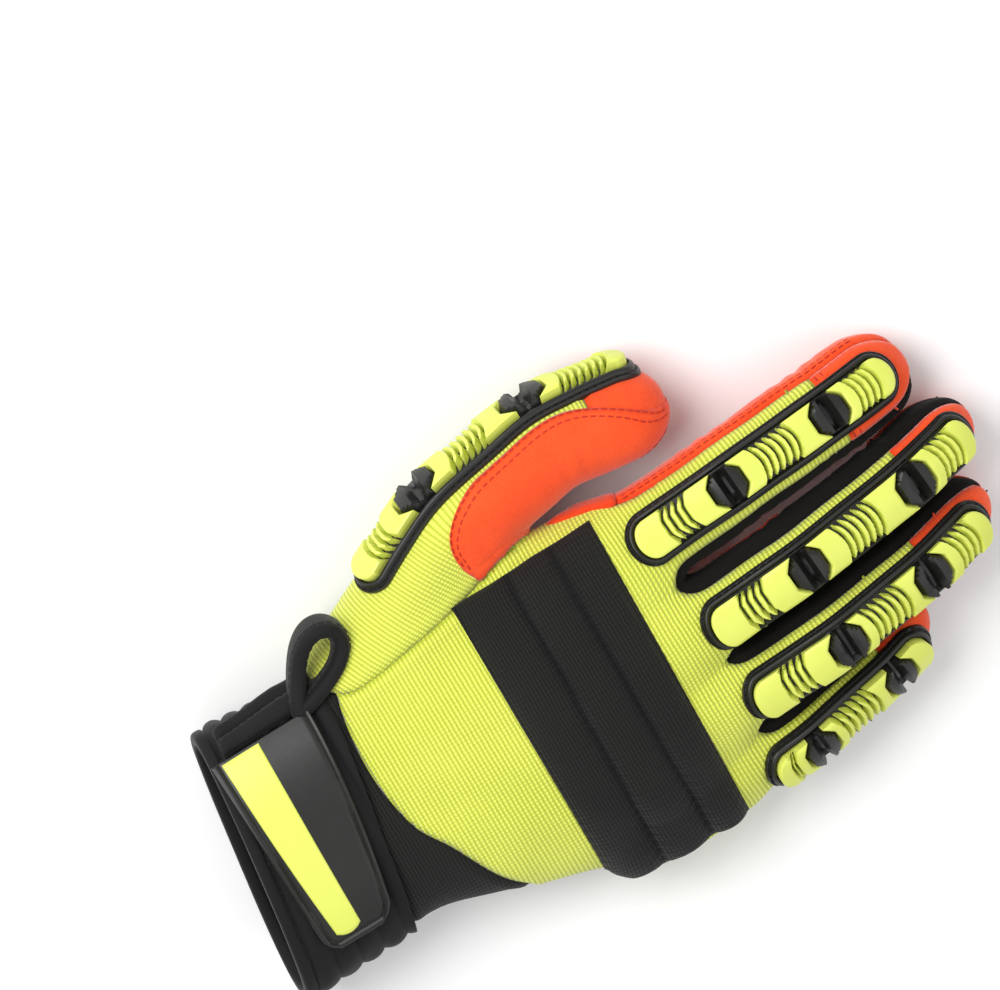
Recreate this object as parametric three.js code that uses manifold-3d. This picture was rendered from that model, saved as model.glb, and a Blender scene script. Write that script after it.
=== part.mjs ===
// Impact work glove for the right hand, lying palm down, as an assembly of sewn panels, suede patches,
// moulded finger guards, a quilted wrist cuff and its closure strap.
// Millimetres. +X runs from the cuff to the fingertips, +Y to the thumb side, +Z up through the back of the hand.
import * as THREE from "three";
import { mergeVertices } from "three/addons/utils/BufferGeometryUtils.js";
import Module from "manifold-3d";

const wasm = await Module();
wasm.setup();

// Driving sizes
const PALM_LENGTH = 106; // wrist seam to the finger forks
const PALM_WIDTH = 108;
const PALM_THICKNESS = 40;
const CUFF_LENGTH = 43;
const CUFF_THICKNESS = 3;
const CUFF_ROLLS = 6; // quilted channels round the cuff
const CUFF_ROLL_HEIGHT = 1.4;
const BINDING_WIDTH = 4;
const FINGER_LENGTH = 134; // middle finger, knuckle to tip
const FINGER_WIDTH = 25.6; // middle finger, side to side
const FINGER_THICKNESS = 25;
const THUMB_LENGTH = 119;
const WALL = 1.8; // knit and suede panels
const GAP = 0.3; // clearance between neighbouring pieces
const PATCH_THICKNESS = 1.2; // suede patches on the fingers
const PAD_THICKNESS = 2; // padded suede on the palm
const KNUCKLE_PAD_HEIGHT = 4.6; // at its middle, and less towards its ends
const KNUCKLE_PAD_EDGE = 1.5;
const KNUCKLE_GROOVE_WIDTH = 1.6;
const KNUCKLE_GROOVE_DEPTH = 2.6;
const GUARD_WIDTH = 16;
const GUARD_FLOOR = 2.4; // black tray of a finger guard, above the knit
const GUARD_RIM_HEIGHT = 3.4;
const GUARD_RIM_WIDTH = 1.7;
const GUARD_RIB_HEIGHT = 5.2;
const GUARD_BLOCK_HEIGHT = 5.7;
const GUARD_JOINT_HEIGHT = 6.4;
const RIB_WIDTH = 1.7;
const RIB_PITCH = 2.6;
const STRAP_THICKNESS = 2.4;
const STRAP_LENGTH = 66; // across the wrist
const STRAP_WIDTH = 33;
const FLAP_THICKNESS = 3.2; // folded edge beside the strap
const FLAP_WIDTH = 7;
const STRIPE_WIDTH = 11;
const STRIPE_THICKNESS = 0.8;
const LOOP_LENGTH = 29;
const LOOP_WIDTH = 21;
const LOOP_WALL = 4.2;
const LOOP_HEIGHT = 17;
const PULL_TAB_WIDTH = 26;
const PULL_TAB_LENGTH = 52;
const PULL_TAB_REACH = 4; // past the cuff's binding
const PULL_TAB_THICKNESS = 1.6;

// Facet counts
const BODY_SIDES = 20;
const BODY_LINING_SIDES = 14;
const DIGIT_LINING_SIDES = 8;
const WELD = 0.002; // vertices closer than this are one
const WELD_PASSES = 3; // one weld can leave new vertices that lie almost together
const SLIVER = 0.03; // facets may shift this far when slivers are cleared away

// Heights of the skin above the table: the palm pads lie between the skin and the table.
const SKIN_FLOOR = GAP + PAD_THICKNESS;
const floorAt = (offset) => Math.max(0, SKIN_FLOOR - offset);

// Cross sections of the hand's body, from the cuff's mouth to the finger forks.
// at: share of CUFF_LENGTH (cuff rows) or PALM_LENGTH (palm rows); centre, half: shares of PALM_WIDTH;
// rise, thick, drop: shares of PALM_THICKNESS, for the middle line's height, the half thickness and the arch;
// slant, skew: how far the section leans in X with height and towards the thumb side.
const BODY_ROWS = [
  {
    zone: "cuff", at: -1.0, centre: 0.065, half: 0.396, rise: 0.63, thick: 0.48, drop: 0.055,
    slant: 0.06, skew: 0.13,
  },
  {
    zone: "cuff", at: -0.45, centre: 0.065, half: 0.38, rise: 0.62, thick: 0.47, drop: 0.055,
    slant: 0.03, skew: 0.06,
  },
  { zone: "palm", at: 0.0, centre: 0.06, half: 0.385, rise: 0.603, thick: 0.472, drop: 0.06 },
  { zone: "palm", at: 0.23, centre: 0.037, half: 0.444, rise: 0.55, thick: 0.56, drop: 0.1 },
  { zone: "palm", at: 0.34, centre: 0.022, half: 0.463, rise: 0.57, thick: 0.55, drop: 0.14 },
  { zone: "palm", at: 0.47, centre: 0.0, half: 0.482, rise: 0.61, thick: 0.53, drop: 0.2 },
  { zone: "palm", at: 0.7, centre: -0.028, half: 0.5, rise: 0.735, thick: 0.44, drop: 0.31 },
  { zone: "palm", at: 0.87, centre: -0.037, half: 0.495, rise: 0.74, thick: 0.39, drop: 0.35 },
  { zone: "palm", at: 0.985, centre: -0.046, half: 0.47, rise: 0.71, thick: 0.28, drop: 0.35 },
  { zone: "palm", at: 1.03, centre: -0.046, half: 0.43, rise: 0.7, thick: 0.15, drop: 0.35 },
];
const ARCH_CENTRE = 0.046; // where the arch is highest, as a share of PALM_WIDTH
const BODY_POWER = 2.5;
const DIGIT_POWER = 2.3;

// Digits. x: share of PALM_LENGTH; y: share of PALM_WIDTH; z: share of PALM_THICKNESS, for the knuckle;
// length: share of FINGER_LENGTH or THUMB_LENGTH; wide, thick: shares of FINGER_WIDTH and FINGER_THICKNESS;
// lean: tilt of the back of the digit towards the little finger, twist: its change to the tip, splay: turn
// towards the thumb side, dip: first slope down, in degrees; bends: shares of the length and degrees;
// guard: where the guard starts, its two joints and its end; seam: where the suede tip begins, as shares too.
const DIGITS = {
  index: {
    x: 0.774, y: 0.296, z: 0.69, span: FINGER_LENGTH, length: 0.915, wide: 1.24, thick: 1.0,
    lean: -12, twist: 0, splay: 3.5, dip: 0.8, bends: [[0.45, 9], [0.74, 11]], guard: [0.155, 0.44, 0.73, 0.94],
    seam: 0.75,
  },
  middle: {
    x: 0.774, y: 0.011, z: 0.765, span: FINGER_LENGTH, length: 0.985, wide: 0.97, thick: 1.0,
    lean: 6, twist: 0, splay: 3.5, dip: 0.8, bends: [[0.46, 10], [0.755, 12]], guard: [0.19, 0.465, 0.76, 0.96],
    seam: 0.77,
  },
  ring: {
    x: 0.774, y: -0.216, z: 0.715, span: FINGER_LENGTH, length: 0.92, wide: 0.94, thick: 0.96,
    lean: 16, twist: 0, splay: 2.5, dip: 0.8, bends: [[0.48, 10], [0.74, 11]], guard: [0.2, 0.485, 0.735, 0.95],
    seam: 0.75,
  },
  little: {
    x: 0.7, y: -0.443, z: 0.47, span: FINGER_LENGTH, length: 0.72, wide: 0.9, thick: 0.88,
    lean: 38, twist: 0, splay: 5, dip: 0.8, bends: [[0.46, 7], [0.77, 7]], guard: [0.275, 0.465, 0.78, 0.94],
    seam: 0.78,
  },
  thumb: {
    x: 0.208, y: 0.45, z: 0.56, span: THUMB_LENGTH, length: 1.0, wide: 1.12, thick: 1.2,
    lean: -66, twist: -26, splay: 28, dip: -5, bends: [[0.36, 22], [0.67, 22]], guard: [0.1, 0.363, 0.668, 0.966],
    seam: 0.77,
  },
};
const FINGERS = ["index", "middle", "ring", "little"];
const BEND_REACH = 0.06; // half the length of a bend, as a share of the digit
const ROOT_REACH = 0.1; // how far a digit's tube starts behind its knuckle
const TIP_START = 0.87; // where the rounded tip begins
const TIP_TAPER = 0.07;

// Edges of the panels round a digit, in degrees from the middle of its back.
const BACK_EDGE = 58;
const PALM_EDGE = 122;
const TIP_PATCH_EDGE = 124;
const THUMB_BACK_EDGES = [-146, 78];

// Colours
const LIME = { color: 0xdfee4f, roughness: 0.75, metalness: 0 };
const LIME_RUBBER = { color: 0xdce957, roughness: 0.45, metalness: 0 };
const BLACK_KNIT = { color: 0x191917, roughness: 0.85, metalness: 0 };
const BLACK_SUEDE = { color: 0x1b1a19, roughness: 0.95, metalness: 0 };
const BLACK_NEOPRENE = { color: 0x151518, roughness: 0.8, metalness: 0 };
const BLACK_RUBBER = { color: 0x24231f, roughness: 0.5, metalness: 0 };
const ORANGE_SUEDE = { color: 0xf0542b, roughness: 0.95, metalness: 0 };

// A closed geometry as a solid, turned right side out.
function solidOf(positions, triangles) {
  const build = (order) => {
    const geometry = new THREE.BufferGeometry();
    const numbers = positions.flatMap((p) => [p.x, p.y, p.z]);
    geometry.setAttribute("position", new THREE.Float32BufferAttribute(numbers, 3));
    geometry.setIndex(order);
    const merged = mergeVertices(geometry, 1e-4);
    return new wasm.Manifold(
      new wasm.Mesh({
        numProp: 3,
        vertProperties: new Float32Array(merged.attributes.position.array),
        triVerts: new Uint32Array(merged.index.array),
      }),
    );
  };
  const made = build(triangles);
  if (made.volume() > 0) return made;
  const turned = [];
  for (let i = 0; i < triangles.length; i += 3) turned.push(triangles[i], triangles[i + 2], triangles[i + 1]);
  return build(turned);
}

// A solid through closed rings of points. Each ring has flat, its outline in its own plane, and points, its place.
function loft(rings) {
  const count = rings[0].points.length;
  const positions = rings.flatMap((ring) => ring.points);
  const triangles = [];
  const middleOf = (...points) =>
    points.reduce((sum, p) => sum.add(p), new THREE.Vector3()).divideScalar(points.length);
  for (let row = 0; row + 1 < rings.length; row++) {
    const axis = middleOf(...rings[row].points, ...rings[row + 1].points);
    for (let i = 0; i < count; i++) {
      const [a, b] = [row * count + i, row * count + ((i + 1) % count)];
      const [c, d] = [b + count, a + count];
      // A quad that isn't flat folds outwards, so that neighbouring layers fold alike.
      const reach = (p, q) => middleOf(positions[p], positions[q]).distanceTo(axis);
      if (reach(a, c) >= reach(b, d)) triangles.push(a, b, c, a, c, d);
      else triangles.push(a, b, d, b, c, d);
    }
  }
  const cap = THREE.ShapeUtils.triangulateShape(counterClockwise(rings[0].flat), []);
  const last = (rings.length - 1) * count;
  const keep = isCounterClockwise(rings[0].flat);
  for (const corners of cap) {
    const [i, j, k] = keep ? corners : corners.map((v) => count - 1 - v).toReversed();
    triangles.push(i, k, j, i + last, j + last, k + last);
  }
  return solidOf(positions, triangles);
}

const isCounterClockwise = (flat) => !THREE.ShapeUtils.isClockWise(flat);
const counterClockwise = (flat) => (isCounterClockwise(flat) ? flat : flat.toReversed());

// The value of one column of a table at x, on a smooth curve through its rows.
function columnAt(rows, column, x) {
  const at = rows.map((row) => row.x);
  const i = Math.min(Math.max(at.findIndex((v) => v > x) - 1, 0), at.length - 2);
  const index = x >= at.at(-1) ? at.length - 2 : i;
  const value = (k) => rows[Math.min(Math.max(k, 0), rows.length - 1)][column];
  const place = (k) => at[Math.min(Math.max(k, 0), rows.length - 1)];
  const slope = (k) => (value(k + 1) - value(k - 1)) / (place(k + 1) - place(k - 1));
  const span = at[index + 1] - at[index];
  const t = THREE.MathUtils.clamp((x - at[index]) / span, 0, 1);
  const [t2, t3] = [t * t, t * t * t];
  return (
    (2 * t3 - 3 * t2 + 1) * value(index) +
    (t3 - 2 * t2 + t) * span * slope(index) +
    (3 * t2 - 2 * t3) * value(index + 1) +
    (t3 - t2) * span * slope(index + 1)
  );
}

// The body's rows in millimetres.
const bodyRows = BODY_ROWS.map((row) => ({
  x: row.at * (row.zone === "cuff" ? CUFF_LENGTH : PALM_LENGTH),
  centre: row.centre * PALM_WIDTH,
  half: row.half * PALM_WIDTH,
  rise: row.rise * PALM_THICKNESS,
  thick: row.thick * PALM_THICKNESS,
  drop: row.drop * PALM_THICKNESS,
  slant: row.slant ?? 0,
  skew: row.skew ?? 0,
}));

// One cross section of the body at x: a rounded oblong, bent over the arch of the hand and flattened on the table.
function bodyRing(x, offset, outline, lift = 0) {
  const columns = ["centre", "half", "rise", "thick", "drop", "slant", "skew"];
  const [centre, half, rise, thick, drop, slant, skew] = columns.map((column) => columnAt(bodyRows, column, x));
  const archCentre = ARCH_CENTRE * PALM_WIDTH;
  const flat = outline(half + offset, thick + offset + lift);
  const points = flat.map(({ x: across, y: up }) => {
    const y = centre + across;
    const slope = (-2 * drop * (y - archCentre)) / half ** 2;
    const middle = rise - drop * ((y - archCentre) / half) ** 2;
    const length = Math.hypot(1, slope);
    const z = middle + up / length;
    const lean = slant * (z - rise) + skew * across;
    return new THREE.Vector3(x + lean, y - (up * slope) / length, Math.max(z, floorAt(offset)));
  });
  return { flat, points };
}

// A point of a superellipse at an angle.
function ovalPoint(angle, a, b, power) {
  const round = (v) => Math.sign(v) * Math.abs(v) ** (2 / power);
  return new THREE.Vector2(a * round(Math.cos(angle)), b * round(Math.sin(angle)));
}

const evenOval = (sides, power) => (a, b) =>
  Array.from({ length: sides }, (_, i) => ovalPoint((2 * Math.PI * i) / sides, a, b, power));
const bodyOval = evenOval(BODY_SIDES, BODY_POWER);
const bodyLiningOval = evenOval(BODY_LINING_SIDES, BODY_POWER);
const digitLiningOval = evenOval(DIGIT_LINING_SIDES, DIGIT_POWER);

// The half of the body above (side 1) or below (side -1) its middle line, kept inset from that line.
const halfOval = (side, inset) => (a, b) => {
  const steps = BODY_SIDES / 2;
  const arc = Array.from({ length: steps - 1 }, (_, i) =>
    ovalPoint((side * Math.PI * (i + 1)) / steps, a, b, BODY_POWER),
  );
  const line = Array.from({ length: steps + 1 }, (_, i) => new THREE.Vector2(-a + (2 * a * i) / steps, side * inset));
  return [...arc, ...line];
};

// The body between two places along X, grown by offset, through the rows of its table and any extra places.
function body(offset, from, to, outline = bodyOval, lift = 0) {
  const inside = bodyRows.map((row) => row.x).filter((x) => x > from + GAP && x < to - GAP);
  const places = [from, ...inside, to];
  return loft(places.map((x) => bodyRing(x, offset, outline, lift)));
}

// A digit's middle line and directions: along, up through its back, and to its thumb side.
function makeDigit(name, row) {
  const length = row.length * row.span;
  const radians = THREE.MathUtils.degToRad;
  const knuckle = new THREE.Vector3(row.x * PALM_LENGTH, row.y * PALM_WIDTH, row.z * PALM_THICKNESS);
  const along = new THREE.Vector3(
    Math.cos(radians(row.splay)) * Math.cos(radians(row.dip)),
    Math.sin(radians(row.splay)) * Math.cos(radians(row.dip)),
    -Math.sin(radians(row.dip)),
  );
  const level = new THREE.Vector3(0, 0, 1).addScaledVector(along, -along.z).normalize();
  const back = level.clone().applyAxisAngle(along, radians(row.lean));
  const directions = (s) => {
    const bend = row.bends.reduce((sum, [at, degrees]) => {
      const share = (s / length - at + BEND_REACH) / (2 * BEND_REACH);
      return sum + radians(degrees) * THREE.MathUtils.smoothstep(share, 0, 1);
    }, 0);
    const ahead = along.clone().multiplyScalar(Math.cos(bend)).addScaledVector(back, -Math.sin(bend));
    const up = back.clone().multiplyScalar(Math.cos(bend)).addScaledVector(along, Math.sin(bend));
    up.applyAxisAngle(ahead, radians(row.twist) * THREE.MathUtils.clamp(s / length, 0, 1));
    return { ahead, up, side: up.clone().cross(ahead) };
  };
  const step = length / 160;
  const start = -ROOT_REACH * length;
  const trail = [knuckle.clone().addScaledVector(along, start)];
  for (let s = start; s < length + step; s += step)
    trail.push(trail.at(-1).clone().addScaledVector(directions(s + step / 2).ahead, step));
  const centre = (s) => {
    const place = (s - start) / step;
    const i = THREE.MathUtils.clamp(Math.floor(place), 0, trail.length - 2);
    return trail[i].clone().lerp(trail[i + 1], place - i);
  };
  const taper = (s) => 1 - (TIP_TAPER * THREE.MathUtils.clamp(s / length, 0, TIP_START)) / TIP_START;
  const roundness = (s) => {
    const share = THREE.MathUtils.clamp((s / length - TIP_START) / (1 - TIP_START), 0, 0.995);
    return Math.sqrt(1 - share ** 2);
  };
  const half = (s) => ({
    wide: (row.wide * FINGER_WIDTH * taper(s) * roundness(s)) / 2,
    thick: (row.thick * FINGER_THICKNESS * taper(s) * roundness(s)) / 2,
  });
  return { name, row, length, start, directions, centre, half };
}

const digits = Object.fromEntries(Object.entries(DIGITS).map(([name, row]) => [name, makeDigit(name, row)]));
const digitStations = (digit) => [0.42, 0.5, digit.row.seam, 0.92, 0.975];
const liningStations = (digit) => [0.455, digit.row.seam, 0.94];

// A cross section of a digit at s, grown by offset, as a ring of points.
function digitRing(digit, s, offset, outline) {
  const { up, side } = digit.directions(s);
  const { wide, thick } = digit.half(s);
  const origin = digit.centre(s);
  const tip = s >= digit.length ? offset : 0;
  const flat = outline(wide + offset, thick + offset);
  const points = flat.map((p) => {
    const point = origin.clone().addScaledVector(side, p.x).addScaledVector(up, p.y);
    point.addScaledVector(digit.directions(s).ahead, tip);
    point.z = Math.max(point.z, floorAt(offset));
    return point;
  });
  return { flat, points };
}

// A digit's tube, or the part of it inside an outline, between two shares of its length.
function tube(digit, offset, outline, from = -ROOT_REACH, to = 1, stations = digitStations(digit)) {
  const inside = stations.filter((share) => share > from + 0.01 && share < to - 0.01);
  return loft([from, ...inside, to].map((share) => digitRing(digit, share * digit.length, offset, outline)));
}

function digitGrown(name, offset) {
  const digit = digits[name];
  if (offset >= 0) return tube(digit, offset, wholeDigit(name));
  return tube(digit, offset, digitLiningOval, -ROOT_REACH, 1 + offset / digit.length, liningStations(digit));
}

// The corners of a digit's section, in degrees from the middle of its back, fall on its seams.
const FINGER_CORNERS = [-180, -151, -122, -90, -58, -29, 0, 29, 58, 90, 122, 151];
const THUMB_CORNERS = [-180, -146, -112, -78, -52, -26, 0, 26, 52, 78, 112, 146];

// The points of a section between two angles, measured towards the thumb side.
function arcPoints(from, to, corners, a, b) {
  const round = [...corners, ...corners.map((angle) => angle + 360)];
  const inside = round.filter((angle) => angle > from + 2 && angle < to - 2);
  return [from, ...inside, to].map((angle) => ovalPoint(THREE.MathUtils.degToRad(90 - angle), a, b, DIGIT_POWER));
}

const cornersOf = (name) => (name === "thumb" ? THUMB_CORNERS : FINGER_CORNERS);
const wholeDigit = (name) => (a, b) => arcPoints(-180, 180, cornersOf(name), a, b).slice(1);
const wedge = (name, from, to) => (a, b) => [new THREE.Vector2(0, 0), ...arcPoints(from, to, cornersOf(name), a, b)];

const BODY_FROM = -0.42 * CUFF_LENGTH; // the hand's panels start under the strap
const BODY_TO = 1.03 * PALM_LENGTH;
const FORK_AT = bodyRows.at(-2).x; // the side panels start here
const union = (solids) => solids.reduce((whole, next) => whole.add(next));

// The hand without its thumb, and the thumb, each grown by offset.
function handGrown(offset) {
  const inner = Math.min(offset, 0);
  const outline = offset < 0 ? bodyLiningOval : bodyOval;
  const palm = body(offset, BODY_FROM + inner, BODY_TO + inner, outline);
  return union([palm, ...FINGERS.map((name) => digitGrown(name, offset))]);
}

const thumbGrown = (offset) => digitGrown("thumb", offset);

// The layer that lies on the whole glove between two heights above its skin.
const grownAll = new Map();
function skinAt(height) {
  const key = height.toFixed(3);
  if (!grownAll.has(key)) grownAll.set(key, handGrown(height).add(thumbGrown(height)));
  return grownAll.get(key);
}

const layer = (low, high) => skinAt(high).subtract(skinAt(low));

// A vertical prism over an outline of [x, y] points, seen from above.
function planPrism(outline, low = -20, high = 140) {
  const shape = new THREE.Shape(outline.map(([x, y]) => new THREE.Vector2(x, y)));
  const geometry = new THREE.ExtrudeGeometry(shape, { depth: high - low, bevelEnabled: false, curveSegments: 6 });
  geometry.translate(0, 0, low);
  return fromGeometry(geometry);
}

function fromGeometry(geometry) {
  geometry.deleteAttribute("normal");
  geometry.deleteAttribute("uv");
  const merged = mergeVertices(geometry, 1e-4);
  const points = [];
  for (let i = 0; i < merged.attributes.position.count; i++)
    points.push(new THREE.Vector3().fromBufferAttribute(merged.attributes.position, i));
  return solidOf(points, Array.from(merged.index.array));
}

// Shares of the palm's length and width as millimetres.
const inPalm = (points) => points.map(([x, y]) => [x * PALM_LENGTH, y * PALM_WIDTH]);

const glove = new THREE.Group();

const largestBody = (solid) =>
  solid.decompose().reduce((best, next) => (next.volume() > best.volume() ? next : best));

// The triangles of a solid with its vertices drawn to a fine grid, so that none lie almost together.
function weldedMesh(solid) {
  const mesh = solid.getMesh();
  const places = new Map();
  const points = [];
  const corner = (i) => {
    const at = [0, 1, 2].map((k) => Math.round(mesh.vertProperties[i * mesh.numProp + k] / WELD));
    const key = at.join();
    if (!places.has(key)) places.set(key, points.push(new THREE.Vector3(...at).multiplyScalar(WELD)) - 1);
    return places.get(key);
  };
  const corners = Array.from(mesh.triVerts, corner);
  const triangles = [];
  for (let i = 0; i < corners.length; i += 3) {
    const [a, b, c] = corners.slice(i, i + 3);
    if (a !== b && b !== c && c !== a) triangles.push(a, b, c);
  }
  return { points, triangles };
}

// Adds a solid, without the crumbs and slivers that a cut may leave, as a named mesh.
function addPiece(name, solid, look) {
  let { points, triangles } = weldedMesh(largestBody(largestBody(solid).simplify(SLIVER)));
  for (let pass = 0; pass < WELD_PASSES; pass++)
    ({ points, triangles } = weldedMesh(largestBody(solidOf(points, triangles))));
  const geometry = new THREE.BufferGeometry().setFromPoints(points);
  geometry.setIndex(triangles);
  geometry.computeVertexNormals();
  const piece = new THREE.Mesh(geometry, new THREE.MeshStandardMaterial(look));
  piece.name = name;
  glove.add(piece);
}

// The sewn shell
const thumbLining = thumbGrown(-WALL);
const lining = handGrown(-WALL).add(thumbLining);

// Seams that cross the wrist, from the little side to the thumb side, as shares of the palm's length and width.
const CUFF_SEAM = [[-0.14, -1], [-0.12, -0.35], [-0.07, 0], [-0.01, 0.35], [0.0, 1]];
const KNIT_SEAM = [
  [0.3, -1], [0.26, -0.5], [0.2, -0.41], [0.1, -0.3], [0.047, -0.14], [0.042, 0.09], [0.075, 0.28],
  [0.125, 0.47], [0.16, 1],
];
const FAR = 3; // well past the fingertips, in palm lengths
const beyond = (seam, shift) =>
  planPrism([
    ...inPalm(seam).map(([x, y]) => [x + shift, y]),
    [FAR * PALM_LENGTH, PALM_WIDTH],
    [FAR * PALM_LENGTH, -PALM_WIDTH],
  ]);

const HALF_GAP = GAP / 2;
const GAP_DEGREES = 1; // half a gap, as an angle round a digit
const ROOT_SHARE = -0.02; // the panels of a finger start inside the palm

// The back or the palm side of the hand without its lining: half the palm, and a wedge of each finger.
function panelBlank(side, toSeam) {
  const [from, to] = side > 0 ? [-BACK_EDGE, BACK_EDGE] : [PALM_EDGE, 360 - PALM_EDGE];
  const wedges = FINGERS.map((name) => {
    const end = toSeam ? digits[name].row.seam : 1;
    return tube(digits[name], 0, wedge(name, from + GAP_DEGREES, to - GAP_DEGREES), ROOT_SHARE, end);
  });
  return union([...wedges, body(0, BODY_FROM, FORK_AT - HALF_GAP, halfOval(side, HALF_GAP))]);
}

const hand = beyond(CUFF_SEAM, HALF_GAP).subtract(lining);
const backBlank = panelBlank(1, true).intersect(hand);
const palmBlank = panelBlank(-1, false).intersect(hand);
addPiece("back_panel", backBlank.intersect(beyond(KNIT_SEAM, HALF_GAP)), LIME);
addPiece("wrist_elastic", backBlank.subtract(beyond(KNIT_SEAM, -HALF_GAP)), BLACK_KNIT);
addPiece("palm_panel", palmBlank, BLACK_SUEDE);

// Suede tips of the fingers' backs, past the last joint.
for (const name of FINGERS) {
  const digit = digits[name];
  const outline = wedge(name, -BACK_EDGE + GAP_DEGREES, BACK_EDGE - GAP_DEGREES);
  const tip = tube(digit, 0, outline, digit.row.seam + GAP / digit.length, 1);
  addPiece(`${name}_tip_back`, tip.subtract(lining), ORANGE_SUEDE);
}

// Side panels between the fingers, and down the two outer sides.
const SIDE_PANELS = [
  { name: "index_side", from: null, to: "index", look: ORANGE_SUEDE },
  { name: "fourchette_index_middle", from: "index", to: "middle", look: BLACK_SUEDE },
  { name: "fourchette_middle_ring", from: "middle", to: "ring", look: BLACK_SUEDE },
  { name: "fourchette_ring_little", from: "ring", to: "little", look: BLACK_SUEDE },
  { name: "little_side", from: "little", to: null, look: BLACK_SUEDE },
];
const middleLine = (name, shift) =>
  [0, 0.3, 0.6].map((share) => {
    const point = digits[name].centre(share * digits[name].length);
    return [point.x, point.y + shift];
  });
const web = body(0, FORK_AT + HALF_GAP, BODY_TO).subtract(
  union(
    FINGERS.flatMap((name) => [
      tube(digits[name], 1, wedge(name, -BACK_EDGE - GAP_DEGREES, BACK_EDGE + GAP_DEGREES), ROOT_SHARE, 0.5),
      tube(digits[name], 1, wedge(name, PALM_EDGE - GAP_DEGREES, 360 - PALM_EDGE + GAP_DEGREES), ROOT_SHARE, 0.5),
    ]),
  ),
);
const beforeFork = planPrism([
  [BODY_FROM, -PALM_WIDTH],
  [FORK_AT + HALF_GAP, -PALM_WIDTH],
  [FORK_AT + HALF_GAP, PALM_WIDTH],
  [BODY_FROM, PALM_WIDTH],
]);
for (const { name, from, to, look } of SIDE_PANELS) {
  const upper = from ? middleLine(from, 0) : middleLine(to, PALM_WIDTH);
  const lower = to ? middleLine(to, 0) : middleLine(from, -PALM_WIDTH);
  const [near, far] = [BACK_EDGE + GAP_DEGREES, PALM_EDGE - GAP_DEGREES];
  const strips = [web.intersect(planPrism([...lower, ...upper.toReversed()]))];
  if (from) strips.push(tube(digits[from], 0, wedge(from, -far, -near), 0, 1));
  if (to) strips.push(tube(digits[to], 0, wedge(to, near, far), 0, 1));
  addPiece(name, union(strips).subtract(lining).subtract(beforeFork), look);
}

// Thumb: a knit back, a suede front and a suede tip.
const thumb = digits.thumb;
const handClear = handGrown(GAP);
const thumbPanel = (from, to, start, end) =>
  tube(thumb, 0, wedge("thumb", from + 2 * GAP_DEGREES, to - 2 * GAP_DEGREES), start, end)
    .subtract(thumbLining)
    .subtract(handClear);
const thumbSeam = thumb.row.seam;
addPiece("thumb_back", thumbPanel(...THUMB_BACK_EDGES, -ROOT_REACH, thumbSeam), LIME);
const thumbFront = thumbPanel(THUMB_BACK_EDGES[1], THUMB_BACK_EDGES[0] + 360, -ROOT_REACH, thumbSeam);
addPiece("thumb_front", thumbFront, BLACK_SUEDE);
const thumbTip = tube(thumb, 0, wholeDigit("thumb"), thumbSeam + GAP / thumb.length, 1);
addPiece("thumb_tip", thumbTip.subtract(thumbLining), ORANGE_SUEDE);

// Suede patches on the front of the digits, between two shares of the length.
const FRONT_PATCHES = [
  { name: "index_front_patch", digit: "index", from: 0.3, to: 1 },
  { name: "middle_bar_patch", digit: "middle", from: 0.32, to: 0.5 },
  { name: "middle_tip_patch", digit: "middle", from: digits.middle.row.seam, to: 1 },
  { name: "ring_bar_patch", digit: "ring", from: 0.3, to: 0.44 },
  { name: "ring_tip_patch", digit: "ring", from: digits.ring.row.seam, to: 1 },
  { name: "little_tip_patch", digit: "little", from: 0.7, to: 1 },
];

// A patch laid on a digit between two angles: its outer face, and its inner one a gap above the skin.
const patchOutline = (name, from, to, thickness) => (a, b) => [
  ...arcPoints(from, to, cornersOf(name), a + thickness, b + thickness),
  ...arcPoints(from, to, cornersOf(name), a, b).toReversed(),
];
for (const { name, digit, from, to } of FRONT_PATCHES) {
  const outline = patchOutline(digit, TIP_PATCH_EDGE, 360 - TIP_PATCH_EDGE, PATCH_THICKNESS);
  addPiece(name, tube(digits[digit], GAP, outline, from, to), ORANGE_SUEDE);
}

// Padded suede on the palm, as outlines in shares of the palm's length and width.
const PALM_PADS = [
  {
    name: "upper_palm_pad",
    look: ORANGE_SUEDE,
    outline: [
      [0.8, 0.345], [0.93, 0.39], [1.03, 0.35], [1.03, 0.27], [0.97, 0.2], [1.0, 0.14], [1.09, 0.1],
      [1.09, 0.02], [0.98, -0.04], [1.0, -0.11], [1.05, -0.15], [1.02, -0.21], [0.94, -0.26], [0.84, -0.22],
    ],
  },
  {
    name: "centre_palm_pad",
    look: ORANGE_SUEDE,
    outline: [
      [0.73, 0.315], [0.77, -0.215], [0.56, -0.26], [0.36, -0.23], [0.4, -0.075], [0.56, 0.037], [0.66, 0.185],
    ],
  },
  {
    name: "thumb_palm_pad",
    look: ORANGE_SUEDE,
    outline: [
      [0.63, 0.29], [0.42, 0.33], [0.2, 0.22], [0.09, 0.05], [0.09, -0.14], [0.17, -0.23], [0.28, -0.22],
      [0.33, -0.05], [0.5, 0.07], [0.6, 0.19],
    ],
  },
  { name: "heel_patch", look: BLACK_SUEDE, outline: [[0.36, -0.27], [0.2, -0.26], [0.22, -0.36], [0.37, -0.38]] },
];
const padLayer = layer(GAP, GAP + PAD_THICKNESS).intersect(body(7, BODY_FROM - 4, BODY_TO, halfOval(-1, 3)));
for (const { name, look, outline } of PALM_PADS)
  addPiece(name, padLayer.intersect(planPrism(inPalm(outline))), look);

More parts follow.
